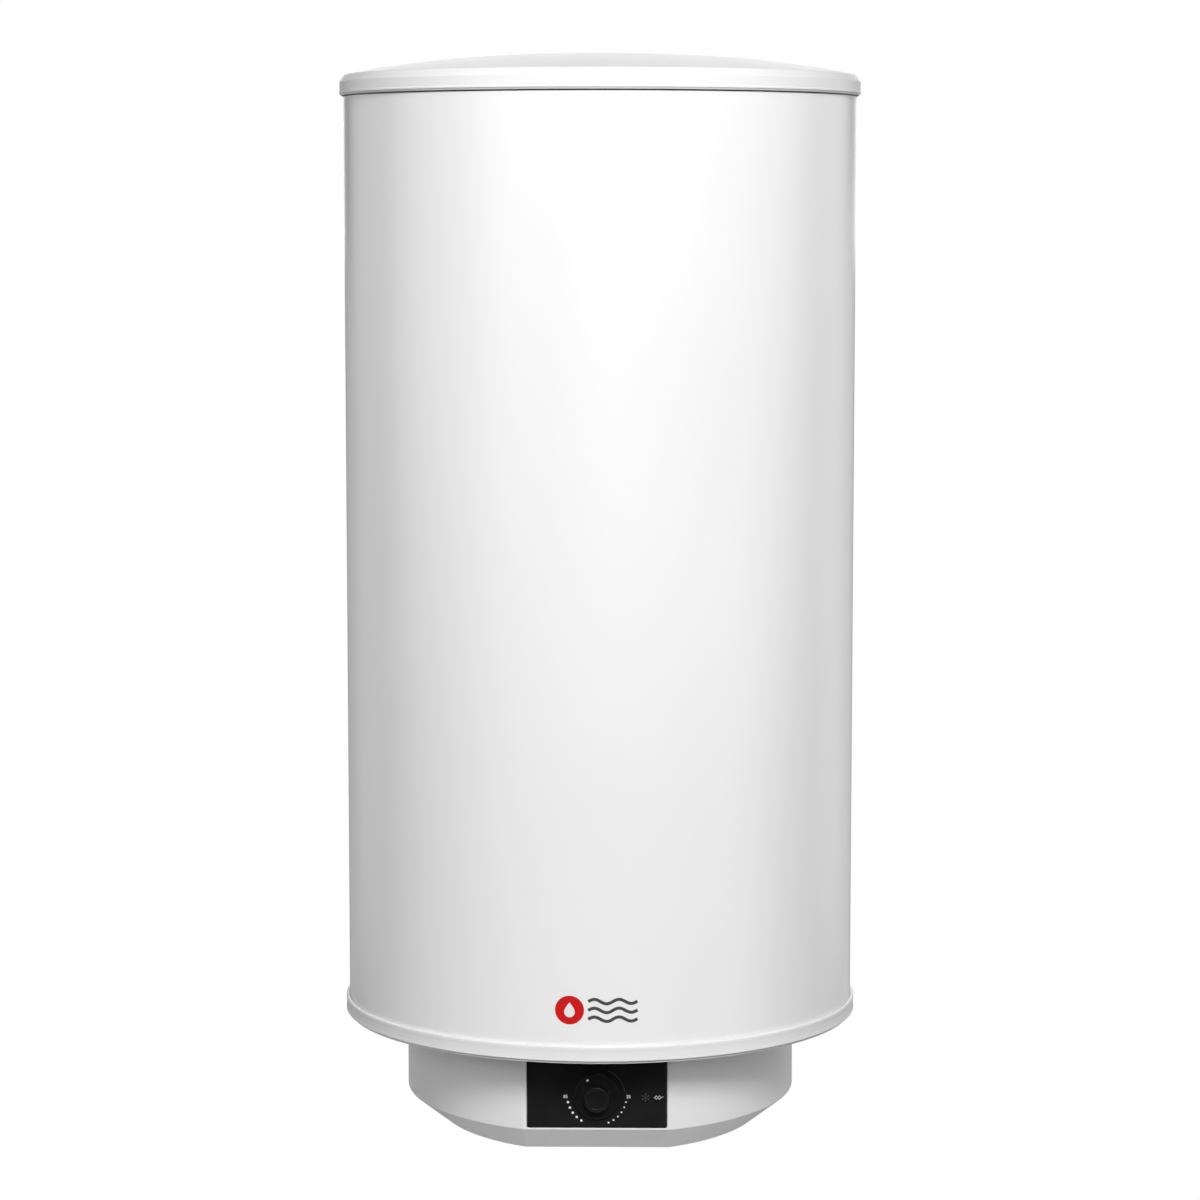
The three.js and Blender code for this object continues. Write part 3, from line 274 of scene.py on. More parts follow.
FINISHES = {
    "jacket_enamel": surface("jacket_enamel", grey(0.853), grey(0.869),
                             rough=(0.3, 0.38), patch=5, grain=650, depth=0.012, waves=0.5,
                             specular=0.42, coat=0.12, coat_rough=0.22),
    "cap_plastic": surface("cap_plastic", grey(0.807), grey(0.83),
                           rough=(0.4, 0.5), patch=12, grain=2200, depth=0.02, specular=0.4),
    "cover_plastic": surface("cover_plastic", grey(0.808), grey(0.832),
                             rough=(0.42, 0.54), patch=14, grain=2400, depth=0.025, specular=0.4),
    "fascia_black": surface("fascia_black", grey(0.0142), grey(0.017), rough=(0.13, 0.19),
                            patch=60, grain=3000, depth=0.002, specular=0.28),
    "knob_black": surface("knob_black", grey(0.0085), grey(0.011), rough=(0.3, 0.4),
                          patch=120, grain=3500, depth=0.008, specular=0.22),
    "gland_black": surface("gland_black", grey(0.02), grey(0.032), rough=(0.42, 0.56),
                           patch=160, grain=2600, depth=0.03),
    "inner_plastic": surface("inner_plastic", (0.62, 0.62, 0.6), (0.7, 0.7, 0.68),
                             rough=(0.4, 0.55), patch=60, grain=1800, depth=0.02),
    "blue_plastic": surface("blue_plastic", (0.012, 0.07, 0.32), (0.018, 0.1, 0.4),
                            rough=(0.35, 0.5), patch=90, grain=2200, depth=0.02),
    "red_plastic": surface("red_plastic", (0.38, 0.014, 0.012), (0.48, 0.022, 0.018),
                           rough=(0.35, 0.5), patch=90, grain=2200, depth=0.02),
    "galvanised_steel": surface("galvanised_steel", (0.44, 0.45, 0.46), (0.66, 0.68, 0.7),
                                rough=(0.32, 0.52), patch=150, grain=900, depth=0.01,
                                metallic=0.92, cells=True, contrast=(0.1, 0.9)),
    "zinc_steel": surface("zinc_steel", (0.5, 0.51, 0.53), (0.64, 0.65, 0.67),
                          rough=(0.26, 0.42), patch=80, grain=1500, depth=0.012, metallic=0.95),
    "tank_enamel": surface("tank_enamel", (0.02, 0.035, 0.05), (0.04, 0.06, 0.08),
                           rough=(0.22, 0.36), patch=25, grain=700, depth=0.05),
    "copper": surface("copper", (0.62, 0.27, 0.15), (0.8, 0.42, 0.28), rough=(0.25, 0.42),
                      patch=60, grain=1600, depth=0.01, metallic=1.0),
    "brass": surface("brass", (0.6, 0.44, 0.16), (0.76, 0.6, 0.28), rough=(0.22, 0.38),
                     patch=70, grain=1600, depth=0.01, metallic=1.0),
    "ceramic": surface("ceramic", (0.72, 0.7, 0.64), (0.82, 0.8, 0.75), rough=(0.3, 0.5),
                       patch=90, grain=1400, depth=0.02),
    "foam": surface("foam", (0.66, 0.5, 0.2), (0.78, 0.64, 0.33), rough=(0.8, 0.95),
                    patch=30, grain=420, depth=0.8, sheen=0.2),
    "silicone": surface("silicone", (0.34, 0.045, 0.03), (0.44, 0.065, 0.045), rough=(0.55, 0.7),
                        patch=80, grain=1500, depth=0.03),
    "magnesium": surface("magnesium", (0.4, 0.4, 0.41), (0.58, 0.58, 0.59), rough=(0.45, 0.62),
                         patch=70, grain=1000, depth=0.05, metallic=0.9),
    "bakelite": surface("bakelite", (0.018, 0.015, 0.013), (0.035, 0.03, 0.026),
                        rough=(0.3, 0.45), patch=120, grain=1500, depth=0.02),
    "circuit_board": surface("circuit_board", (0.01, 0.12, 0.05), (0.02, 0.19, 0.085),
                             rough=(0.35, 0.5), patch=240, grain=1500, depth=0.02, cells=True),
    "clear_lens": surface("clear_lens", grey(0.0142), grey(0.017), rough=(0.13, 0.19),
                          patch=60, grain=3000, depth=0.002, specular=0.28),
    "lead_brown": surface("lead_brown", (0.1, 0.04, 0.018), (0.14, 0.058, 0.026),
                          rough=(0.4, 0.55), patch=150, grain=1500, depth=0.02),
    "lead_blue": surface("lead_blue", (0.02, 0.09, 0.34), (0.03, 0.13, 0.42),
                         rough=(0.4, 0.55), patch=150, grain=1500, depth=0.02),
    "lead_earth": surface("lead_earth", (0.08, 0.3, 0.03), (0.72, 0.62, 0.05),
                          rough=(0.4, 0.55), patch=90, grain=1500, depth=0.02,
                          contrast=(0.48, 0.52)),
    "lead_black": surface("lead_black", grey(0.015), grey(0.028), rough=(0.4, 0.55),
                          patch=150, grain=1500, depth=0.02),
}
# The white print glows a little (emission 0.12) though it is no lamp: painted light that keeps the dial's
# marks and the pointer bright.
PRINT_WHITE_PAINTED_GLOW = surface("print_white_painted_glow", (0.72, 0.73, 0.74), (0.82, 0.83, 0.84), rough=(0.4, 0.5),
                      patch=900, grain=3000, glow=((1, 1, 1), 0.12))
PRINT_FAINT = surface("print_faint", grey(0.05), grey(0.08), rough=(0.4, 0.5), patch=900,
                      grain=3000)
ICON_LIT = surface("icon_lit", grey(0.5), grey(0.58), rough=(0.4, 0.5), patch=900, grain=3000,
                   glow=((1, 0.98, 0.95), 0.1))
ICON_DIM = surface("icon_dim", grey(0.06), grey(0.09), rough=(0.4, 0.5), patch=900, grain=3000)
EMBLEM_DISC = surface("emblem_disc", (0.6, 0.006, 0.008), (0.66, 0.01, 0.012), rough=(0.3, 0.4),
                      patch=300, grain=2500)
EMBLEM_DARK = surface("emblem_dark", grey(0.055), grey(0.07), rough=(0.35, 0.45), patch=300,
                      grain=2500)
EMBLEM_LIGHT = surface("emblem_light", grey(0.8), grey(0.86), rough=(0.35, 0.45), patch=300,
                       grain=2500)
FLOOR = surface("floor_paint", grey(0.78), grey(0.8), rough=(0.6, 0.7), patch=3, grain=60,
                specular=0.2)

NODE_SLOTS = {part["node"]: part["material_slot"] for part in frame["record"]["subparts"]}
for node_name, node_object in frame["nodes"].items():
    node_object.data.materials.clear()
    node_object.data.materials.append(FINISHES[NODE_SLOTS[node_name]])

# ---- mesh helpers -------------------------------------------------------------------------

def shade(mesh, angle):
    mesh.shade_smooth()
    mesh.set_sharp_from_angle(angle=math.radians(angle))


def make(name, vertices, faces, material, angle=CREASE):
    """A mesh object from points in the tank's own frame."""
    mesh = bpy.data.meshes.new(name)
    mesh.from_pydata([world(v) for v in vertices], [], faces)
    mesh.validate()
    mesh.materials.append(material)
    shade(mesh, angle)
    piece = bpy.data.objects.new(name, mesh)
    bpy.context.scene.collection.objects.link(piece)
    return piece


def fitted(piece, slot, *nodes, body="heater"):
    """Puts a piece on its body and hides the nodes that it stands for. The slot argument is not used."""
    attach(piece, body)
    if nodes:
        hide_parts(*nodes)
    return piece


def rounded(points, steps=6, closed=True):
    """A 2D outline of (a, b, radius) corners, with each corner turned into an arc."""
    outline = []
    count = len(points)
    for i, (a, b, radius) in enumerate(points):
        corner = Vector((a, b))
        if radius <= 0 or (not closed and i in (0, count - 1)):
            outline.append((a, b))
            continue
        before = Vector(points[i - 1][:2]) - corner
        after = Vector(points[(i + 1) % count][:2]) - corner
        u, v = before.normalized(), after.normalized()
        half = u.angle(v) / 2
        cut = min(radius / math.tan(half), 0.48 * before.length, 0.48 * after.length)
        radius = cut * math.tan(half)
        centre = corner + (u + v).normalized() * (radius / math.sin(half))
        start, end = corner + u * cut - centre, corner + v * cut - centre
        first = math.atan2(start.y, start.x)
        sweep = (math.atan2(end.y, end.x) - first + math.pi) % (2 * math.pi) - math.pi
        for k in range(steps + 1):
            angle = first + sweep * k / steps
            outline.append((centre.x + radius * math.cos(angle), centre.y + radius * math.sin(angle)))
    return outline


def identity(x, y, z):
    return (x, y, z)


def forward(x, y, z):
    """Turns an axis along Z so that it points to the front (-Y), with local Y as height."""
    return (x, -z, y)


def backward(x, y, z):
    return (-x, z, y)


def revolve(name, outline, material, segments=96, at=(0, 0, 0), turn=identity,
            angle=CREASE, radial=None):
    """Turns a closed outline of (radius, height) about its axis."""
    vertices, faces, rows = [], [], []
    for radius, height in outline:
        if radius < 1e-6:
            rows.append([len(vertices)] * segments)
            vertices.append((0, 0, height))
            continue
        rows.append([len(vertices) + k for k in range(segments)])
        for k in range(segments):
            t = 2 * math.pi * k / segments
            r = radius * (radial(t, radius, height) if radial else 1)
            vertices.append((r * math.cos(t), r * math.sin(t), height))
    for i, lower in enumerate(rows):
        upper = rows[(i + 1) % len(rows)]
        if lower[0] == lower[1] and upper[0] == upper[1]:
            continue
        for k in range(segments):
            n = (k + 1) % segments
            ring = [lower[k], lower[n], upper[n], upper[k]]
            faces.append(list(dict.fromkeys(ring)))
    placed = [tuple(Vector(turn(*v)) + Vector(at)) for v in vertices]
    piece = make(name, placed, faces, material, angle)
    outward(piece)
    return piece


def outward(piece):
    """Makes every face point out of its closed shell."""
    edit = bmesh.new()
    edit.from_mesh(piece.data)
    bmesh.ops.recalc_face_normals(edit, faces=edit.faces)
    edit.to_mesh(piece.data)
    edit.free()


def stacked(name, rings, material, at=(0, 0, 0), turn=identity, angle=CREASE):
    """Joins rings of (x, y, z) points with equal counts, and closes both ends."""
    vertices = [point for ring in rings for point in ring]
    size, count = len(rings[0]), len(rings)
    faces = []
    for i in range(count - 1):
        a, b = i * size, (i + 1) * size
        for k in range(size):
            n = (k + 1) % size
            faces.append((a + k, a + n, b + n, b + k))
    faces.append(tuple(range(size)))
    faces.append(tuple(range((count - 1) * size, count * size)))
    placed = [tuple(Vector(turn(*v)) + Vector(at)) for v in vertices]
    piece = make(name, placed, faces, material, angle)
    outward(piece)
    return piece


def inset_ring(outline, distance, z):
    """The outline moved inwards by a distance, at one height. The outline runs anticlockwise."""
    count = len(outline)
    ring = []
    for i, (x, y) in enumerate(outline):
        before = Vector(outline[i - 1])
        after = Vector(outline[(i + 1) % count])
        along = (after - before).normalized()
        ring.append((x - along.y * distance, y + along.x * distance, z))
    return ring


def slab(name, outline, low, high, material, edge=0.5, at=(0, 0, 0), turn=identity):
    """A flat plate of one outline between two heights, with rounded edges all round."""
    steps = 3
    rounding = []
    for k in range(steps + 1):
        t = math.pi / 2 * k / steps
        rounding.append((edge * (1 - math.sin(t)), edge * (1 - math.cos(t))))
    rings = [inset_ring(outline, inward, low + rise) for inward, rise in rounding]
    rings += [inset_ring(outline, inward, high - rise) for inward, rise in reversed(rounding)]
    return stacked(name, rings, material, at, turn)


def box_outline(width, height, corner=0.0, x=0.0, y=0.0, steps=6):
    """An anticlockwise rectangle round (x, y), with rounded corners."""
    w, h = width / 2, height / 2
    return rounded([(x + w, y - h, corner), (x + w, y + h, corner), (x - w, y + h, corner),
                    (x - w, y - h, corner)], steps)


def brick(name, low, high, material, edge):
    """A block between two corners, with all its edges rounded."""
    width, height = high[0] - low[0], high[1] - low[1]
    outline = box_outline(width, height, edge, (low[0] + high[0]) / 2, (low[1] + high[1]) / 2, 3)
    return slab(name, outline, low[2], high[2], material, edge)


def plain_block(low, high):
    """A cutter with square edges."""
    (x0, y0, z0), (x1, y1, z1) = low, high
    lower = [(x0, y0, z0), (x1, y0, z0), (x1, y1, z0), (x0, y1, z0)]
    upper = [(x, y, z1) for x, y, _ in lower]
    return stacked("cutter", [lower, upper], FINISHES["cover_plastic"])


def plug(radius, low, high, at, turn=identity, segments=48, mouth=0.0):
    """A round cutter; mouth widens its lower end, to break a hole's edge."""
    outline = [(0, low), (radius, low), (radius, high), (0, high)]
    if mouth:
        outline[1:2] = [(radius + mouth, low), (radius + mouth, low + 1), (radius, low + 1 + mouth)]
    return revolve("cutter", outline, FINISHES["cover_plastic"], segments, at, turn)


def carve(piece, cutters, operation="DIFFERENCE", angle=CREASE):
    """Cuts the cutters out of a piece, or joins them to it."""
    for cutter in cutters:
        modifier = piece.modifiers.new("carve", "BOOLEAN")
        modifier.operation = operation
        modifier.object = cutter
        modifier.solver = "EXACT"
    graph = bpy.context.evaluated_depsgraph_get()
    mesh = bpy.data.meshes.new_from_object(piece.evaluated_get(graph))
    mesh.name = piece.name
    piece.modifiers.clear()
    piece.data = mesh
    material = mesh.materials[0]
    mesh.materials.clear()
    mesh.materials.append(material)
    shade(mesh, angle)
    for cutter in cutters:
        bpy.data.objects.remove(cutter)
    return piece


def merged(name, pieces, material):
    """One object from several separate shells."""
    vertices, faces = [], []
    for piece in pieces:
        start = len(vertices)
        vertices += [v.co.copy() for v in piece.data.vertices]
        faces += [[start + i for i in face.vertices] for face in piece.data.polygons]
        bpy.data.objects.remove(piece)
    mesh = bpy.data.meshes.new(name)
    mesh.from_pydata(vertices, [], faces)
    mesh.materials.append(material)
    shade(mesh, CREASE)
    result = bpy.data.objects.new(name, mesh)
    bpy.context.scene.collection.objects.link(result)
    return result


# ---- jacket, cap and rim ------------------------------------------------------------------

def jacket():
    """The plain sheet-steel tube, with two slots in its back for the bracket's legs."""
    outer, inner = JACKET_RADIUS, JACKET_RADIUS - JACKET_WALL
    heights = [JACKET_BOTTOM + (JACKET_TOP - JACKET_BOTTOM) * k / 24 for k in range(25)]
    outline = [(outer, z) for z in heights] + [(inner, JACKET_TOP), (inner, JACKET_BOTTOM)]
    shell = revolve("jacket_shell", outline, FINISHES["jacket_enamel"], 256)
    leg_slots = []
    half = BRACKET_HALF_HEIGHT + GAP
    for side in (-1, 1):
        x0, x1 = sorted((side * (LEG_X + GAP), side * (LEG_X - BRACKET_PLATE - GAP)))
        leg_slots.append(plain_block((x0, LEG_SLOT_START, BRACKET_LEVEL - half),
                                     (x1, WALL_Y, BRACKET_LEVEL + half)))
    return carve(shell, leg_slots)


def lock_seam():
    """The folded seam down the back of the jacket, a little to one side."""
    middle, half, sunk = math.radians(SEAM_ANGLE), SEAM_HALF_WIDTH, 0.15
    across = [(-half - 1.6, 0.0), (-half - 0.6, 0.25), (-half, 0.75), (-half + 0.8, SEAM_HEIGHT),
              (half - 1.4, SEAM_HEIGHT), (half - 0.4, 0.8), (half + 0.1, 0.4), (half + 0.5, 0.0)]
    section = across + [(half + 0.5, -sunk), (-half - 1.6, -sunk)]
    rings = []
    for z in (RIM_HEIGHT - 6, RIM_HEIGHT + 60, 400, CAP_LINE - 60, CAP_LINE + 3):
        ring = []
        for u, h in section:
            angle = middle - u / JACKET_RADIUS
            radius = JACKET_RADIUS + h
            ring.append((radius * math.cos(angle), radius * math.sin(angle), z))
        rings.append(ring)
    return stacked("jacket_seam", rings, FINISHES["jacket_enamel"])


def crown(radius):
    """The dome's height at a radius."""
    return CAP_HEIGHT - CAP_CROWN_DROP * (radius / JACKET_RADIUS) ** CAP_CROWN_POWER


def lid():
    """The domed cap with a lip round the foot of its skirt."""
    skirt = JACKET_RADIUS + SKIRT_CLEARANCE
    top = CAP_LINE + CAP_FACE
    face = CAP_RADIUS - CAP_FACE_INSET
    radii = [CAP_SHOULDER - CAP_CROWN_STEP * k for k in range(1, 16)] + [0]
    outside = [(r, crown(r), 0) for r in radii]
    inside = [(r, crown(r) - CAP_WALL, 0) for r in reversed(radii)]
    corners = [
        (skirt, CAP_LINE, 0.2),
        (CAP_LIP_UNDERSIDE, CAP_LINE, 0.4),
        (CAP_LIP_UNDERSIDE + 0.5, CAP_LINE + 1.3, 0.3),
        (CAP_RADIUS, CAP_LINE + 1.7, 0.4),
        (CAP_RADIUS, CAP_LINE + 2.9, 0.7),
        (face, CAP_LINE + 3.7, 0.6),
        (face, top, 1.2),
        (CAP_SHOULDER, crown(CAP_SHOULDER), 3.0),
        *outside,
        *inside,
        (CAP_SHOULDER - CAP_WALL, crown(CAP_SHOULDER) - CAP_WALL, 3.0),
        (skirt, top - CAP_WALL, 1.0),
    ]
    return revolve("top_lid", rounded(corners, 7), FINISHES["cap_plastic"], 256, angle=40)


def rim():
    """The bottom rim, beaded at its top, with its floor and the holes for pipes and screws."""
    lip = JACKET_RADIUS + SKIRT_CLEARANCE
    waist = RIM_RADIUS - RIM_WAIST
    corners = [
        (FLOOR_OPENING, FLOOR_UNDERSIDE, 0.6),
        (215.0, FLOOR_UNDERSIDE, 1.2),
        (219.0, -RIM_STEP_DROP, 0.6),
        (RIM_STEP_RADIUS, -RIM_STEP_DROP, 0.4),
        (RIM_STEP_RADIUS, -0.95, 0.2),
        (RIM_GROOVE_RADIUS, -0.9, 0.2),
        (RIM_GROOVE_RADIUS, 0.0, 0.2),
        (RIM_RADIUS - 0.1, 0.0, 0.5),
        (RIM_RADIUS, 0.8, 0.4),
        (waist, 3.6, 8),
        (waist, 8.0, 8),
        (RIM_RADIUS, RIM_HEIGHT - 2.9, 1.5),
        (RIM_RADIUS, RIM_HEIGHT, 2.3),
        (lip, RIM_HEIGHT, 0.2),
        (lip, 8.0, 0),
        (lip, FLOOR_TOP, 0.3),
        (FLOOR_OPENING, FLOOR_TOP, 0.6),
    ]
    ring = revolve("bottom_rim", rounded(corners, 6), FINISHES["cap_plastic"], 256)
    holes = [plug(PIPE_HOLE_RADIUS, -6, 8, (side * PIPE_X, PIPE_Y, 0)) for side in (-1, 1)]
    holes += [plug(2.2, -6, 8, (x, y, 0), segments=20) for x, y in SCREW_PLACES]
    return carve(ring, holes)


def cap_shadow_strip():
    """A dark strip under the cap's lip: painted shadow for the shaded joint between the cap and the
    jacket.
    """
    inside, low, high = JACKET_RADIUS + 0.02, CAP_LINE - 1.15, CAP_LINE + 4
    corners = [(inside, low, 0), (JACKET_RADIUS + 0.3, low, 0.1), (JACKET_RADIUS + 0.38, high, 0),
               (inside, high, 0)]
    return revolve("cap_shadow_strip", rounded(corners, 3), FINISHES["gland_black"], 256)


fitted(jacket(), "jacket_enamel", "outer_jacket")
# The dark strip under the cap is painted shadow in the joint.
fitted(cap_shadow_strip(), "gland_black")
fitted(lock_seam(), "jacket_enamel")
fitted(lid(), "cap_plastic", "top_cap")
fitted(rim(), "cap_plastic", "bottom_cap")

# ---- service cover ------------------------------------------------------------------------

def mixed(a, b, share):
    return a + (b - a) * share


def cover_level(flats, sides, inset=0.0, flat_inset=0.0):
    """One closed line round the cover: a flat front and back, and round sides between them.

    flats and sides say how far the plan has shrunk towards the foot's, and at what height.
    """
    def plan(key, share):
        return mixed(WALL_PLAN[key], FOOT_PLAN[key], share)

    flat_share, flat_height = flats
    front_angle = math.asin((plan("flat", flat_share) - flat_inset + COVER_WIDEST)
                            / (plan("front", flat_share) - inset + COVER_WIDEST))
    back_angle = math.asin((plan("back", flat_share) - inset - COVER_WIDEST)
                           / (plan("side", flat_share) - inset - COVER_WIDEST))
    front_steps, back_steps = 40, 20
    right = []
    for k in range(-front_steps, back_steps + 1):
        turn = k / front_steps if k < 0 else k / back_steps
        angle = turn * (front_angle if k < 0 else back_angle)
        sharp = min(1, abs(turn) / BEND_SPREAD)
        weight = sharp * sharp * (3 - 2 * sharp)
        share = mixed(sides[0], flat_share, weight)
        depth = plan("front", share) + COVER_WIDEST if k < 0 else plan("side", share) - COVER_WIDEST
        right.append((
            (plan("side", share) - inset) * math.cos(angle),
            COVER_WIDEST + (depth - inset) * math.sin(angle),
            mixed(sides[1], flat_height, weight),
            {-front_steps: COVER_CORNER, back_steps: COVER_CORNER / 2}.get(k, 0),
        ))
    left = [(-x, y, z, radius) for x, y, z, radius in reversed(right)]
    arc_steps = 5
    heights = []
    for _, _, z, radius in right + left:
        heights += [z] * (arc_steps + 1 if radius else 1)
    outline = rounded([(x, y, radius) for x, y, _, radius in right + left], arc_steps)
    return [(x, y, z) for (x, y), z in zip(outline, heights)]


def bent_profile(chamfer, bend_radius, foot_radius):
    """The cover's wall, bend, chamfer and foot, as (share of the chamfer, height)."""
    corners = [(0, COVER_TOP, 0), (0, COVER_BEND, bend_radius), (chamfer, COVER_BOTTOM, foot_radius),
               (chamfer + FLOOR_REACH * chamfer, COVER_BOTTOM, 0)]
    return [(inward / chamfer, height) for inward, height in rounded(corners, 12, closed=False)]


def panel_holes(shaft_hole, lamp_air):
    """Cutters for the thermostat's shaft and the two light guides."""
    holes = [plug(shaft_hole, -10, 10, (0, -COVER_FLAT, DIAL_HEIGHT), forward)]
    half = LAMP_SIZE / 2 + lamp_air
    for x in (HEATING_X, FROST_X):
        holes.append(plain_block((x - half, -COVER_FLAT - 1, LAMP_HEIGHT - half),
                                 (x + half, -COVER_FLAT + 10, LAMP_HEIGHT + half)))
    return holes


def cover_holes():
    """Cutters for the panel's pocket, what comes through it, and the cable."""
    width, height = FASCIA_WIDTH + 2 * GAP, FASCIA_HEIGHT + 2 * GAP
    lip = ((-1.0, 0.9), (0.0, 0.9), (0.25, 0.42), (0.7, 0.1), (1.1, 0.0), (POCKET_DEPTH, 0.0))
    rings = []
    for depth, grow in lip:
        outline = box_outline(width + 2 * grow, height + 2 * grow, 1.8 + grow)
        rings.append([(x, y, -depth) for x, y in outline])
    pocket = stacked("cutter", rings, FINISHES["cover_plastic"], (0, -COVER_FLAT, FASCIA_MIDDLE), forward)
    cable_outlet = plug(9.4, -10, 10, (0, COVER_BACK, GLAND_HEIGHT), forward)
    return [pocket, *panel_holes(6, 0.4), cable_outlet]


def service_cover():
    """The hollow cover: flat front and back, a chamfered foot, and four posts with screw wells."""
    flats = bent_profile(WALL_PLAN["flat"] - FOOT_PLAN["flat"], 1.5, 1.4)
    sides = bent_profile(WALL_PLAN["side"] - FOOT_PLAN["side"], 2.5, 2)
    outer = [cover_level(f, s) for f, s in zip(flats, sides)]
    # Shares of the chamfer and heights, at the flats and at the sides, of the hollow inside.
    hollow_levels = [((0, COVER_TOP + 3), (0, COVER_TOP + 3)), ((0, COVER_BEND + 1), (0, -53.5)),
                     ((0.04, -74.1), (0.13, -70.8)), ((0.5, -84.2), (0.48, -83.8)),
                     ((1, COVER_BOTTOM + COVER_WALL), (1, COVER_BOTTOM + COVER_WALL))]
    inner = [cover_level(f, s, COVER_WALL, COVER_FRONT_WALL) for f, s in hollow_levels]
    shell = stacked("cover_shell", outer, FINISHES["cover_plastic"])
    hollow = stacked("cutter", inner, FINISHES["cover_plastic"])
    carve(shell, [hollow])
    posts = [plug(POST_RADIUS, COVER_BOTTOM + 1, COVER_TOP, (x, y, 0)) for x, y in SCREW_PLACES]
    carve(shell, posts, "UNION")
    wells = [plug(WELL_RADIUS, COVER_BOTTOM - 1, SCREW_SEAT, (x, y, 0), mouth=0.8)
             for x, y in SCREW_PLACES]
    wells += [plug(2.3, SCREW_SEAT - 1, COVER_TOP + 1, (x, y, 0), segments=20)
              for x, y in SCREW_PLACES]
    return carve(shell, wells + cover_holes(), angle=24)


def fascia():
    """The black panel that lies in the cover's pocket."""
    outline = box_outline(FASCIA_WIDTH, FASCIA_HEIGHT, 1.5)
    plate = slab("fascia_panel", outline, GAP - POCKET_DEPTH, -FASCIA_SUNK, FINISHES["fascia_black"],
                 0.35, (0, -COVER_FLAT, FASCIA_MIDDLE), forward)
    return carve(plate, panel_holes(5, 0.15))


fitted(service_cover(), "cover_plastic", "service_cover")
fitted(fascia(), "fascia_black", "control_fascia")

# ---- dial print ---------------------------------------------------------------------------

def on_panel(u, v):
    """A point of the print, right and up from the dial's centre."""
    return (u, PRINT_Y, DIAL_HEIGHT + v)


def disc_mesh(u, v, radius, place, segments=20):
    """A flat dot round (u, v)."""
    vertices = [place(u, v)]
    vertices += [place(u + radius * math.cos(2 * math.pi * k / segments),
                       v + radius * math.sin(2 * math.pi * k / segments)) for k in range(segments)]
    faces = [(0, 1 + k, 1 + (k + 1) % segments) for k in range(segments)]
    return vertices, faces


def ribbon(points, width, place):
    """A flat stroke of one width through 2D points, with square ends."""
    vertices, faces = [], []
    count = len(points)
    for i, (u, v) in enumerate(points):
        before = Vector(points[max(i - 1, 0)])
        after = Vector(points[min(i + 1, count - 1)])
        along = (after - before).normalized()
        across = Vector((-along.y, along.x)) * width / 2
        here = Vector((u, v))
        if 0 < i < count - 1:
            first = (here - before).normalized()
            across /= max(0.5, abs(along.dot(first)))
        vertices += [place(*(here + across)), place(*(here - across))]
        if i:
            k = 2 * i
            faces.append((k - 2, k - 1, k + 1, k))
    return vertices, faces


def printed(name, shapes, material, body="heater"):
    """One piece of print from several flat shapes."""
    vertices, faces = [], []
    for points, polygons in shapes:
        start = len(vertices)
        vertices += points
        faces += [[start + i for i in polygon] for polygon in polygons]
    return fitted(make(name, vertices, faces, material), None, body=body)


def clock(angle, radius):
    """A place on the dial: degrees anticlockwise from three o'clock."""
    t = math.radians(angle)
    return (radius * math.cos(t), radius * math.sin(t))


# Strokes of the dial's digits, in a box one wide and one high.
DIGITS = {
    "3": [(0.1, 0.86), (0.3, 1.0), (0.62, 1.0), (0.86, 0.86), (0.86, 0.62), (0.62, 0.53), (0.36, 0.53),
          (0.62, 0.53), (0.9, 0.42), (0.9, 0.14), (0.64, 0.0), (0.3, 0.0), (0.08, 0.14)],
    "5": [(0.86, 1.0), (0.2, 1.0), (0.14, 0.56), (0.55, 0.62), (0.88, 0.46), (0.88, 0.16), (0.62, 0.0),
          (0.28, 0.0), (0.08, 0.14)],
    "8": [(0.5, 0.53), (0.2, 0.64), (0.14, 0.84), (0.34, 1.0), (0.66, 1.0), (0.86, 0.84), (0.8, 0.64),
          (0.5, 0.53), (0.14, 0.38), (0.1, 0.14), (0.34, 0.0), (0.66, 0.0), (0.9, 0.14), (0.86, 0.38),
          (0.5, 0.53)],
}


def number(text, u, v):
    """Digits centred on (u, v)."""
    height, stroke = 2.45, 0.44
    width = height * 0.6
    pitch = width * 1.28
    start = u - (pitch * (len(text) - 1) + width) / 2
    shapes = []
    for i, digit in enumerate(text):
        left, foot = start + i * pitch, v - height / 2
        points = [(left + a * width, foot + b * height) for a, b in DIGITS[digit]]
        shapes.append(ribbon(points, stroke, on_panel))
    return shapes


def dial_print():
    """Small dots down from 35 at the right, larger ones up to 85 at the left, and a faint arc."""
    shapes = []
    # The first dot's angle, the step to the next, how many, the first radius and its change.
    rows = ((-12, -11, 6, 0.68, 0.02), (192.6, 11.4, 5, 1.08, -0.02))
    for start, step, count, radius, change in rows:
        for k in range(count):
            place = clock(start + step * k, DIAL_RING)
            shapes.append(disc_mesh(*place, radius + change * k, on_panel))
    shapes += number("35", 27.3, -NUMBER_DROP) + number("85", -27.2, -NUMBER_DROP)
    printed("dial_scale", shapes, PRINT_WHITE_PAINTED_GLOW)
    arc_start, arc_sweep, steps = 67, 59, 40
    arc = [clock(arc_start - arc_sweep * k / steps, DIAL_RING - ARC_INSET) for k in range(steps + 1)]
    printed("dial_arc", [ribbon(arc, 0.35, on_panel)], PRINT_FAINT)


def on_lens(x):
    """Places a print, right and up, on the face of a light guide."""
    return lambda u, v: (x + u, PRINT_Y, LAMP_HEIGHT + v)


def lens(name, x, node):
    """A square light guide with a collar behind the cover's wall."""
    clear, at = FINISHES["clear_lens"], (x, -COVER_FLAT, LAMP_HEIGHT)
    guide = box_outline(LAMP_SIZE, LAMP_SIZE, 0.3)
    wide = box_outline(LAMP_SIZE + 2, LAMP_SIZE + 2, 0.6)
    face = slab(name, guide, -8, -FASCIA_SUNK, clear, 0.06, at, forward)
    collar = slab("collar", wide, -6.8, -5.3, clear, 0.2, at, forward)
    fitted(merged(name, [face, collar], clear), "clear_lens", node)


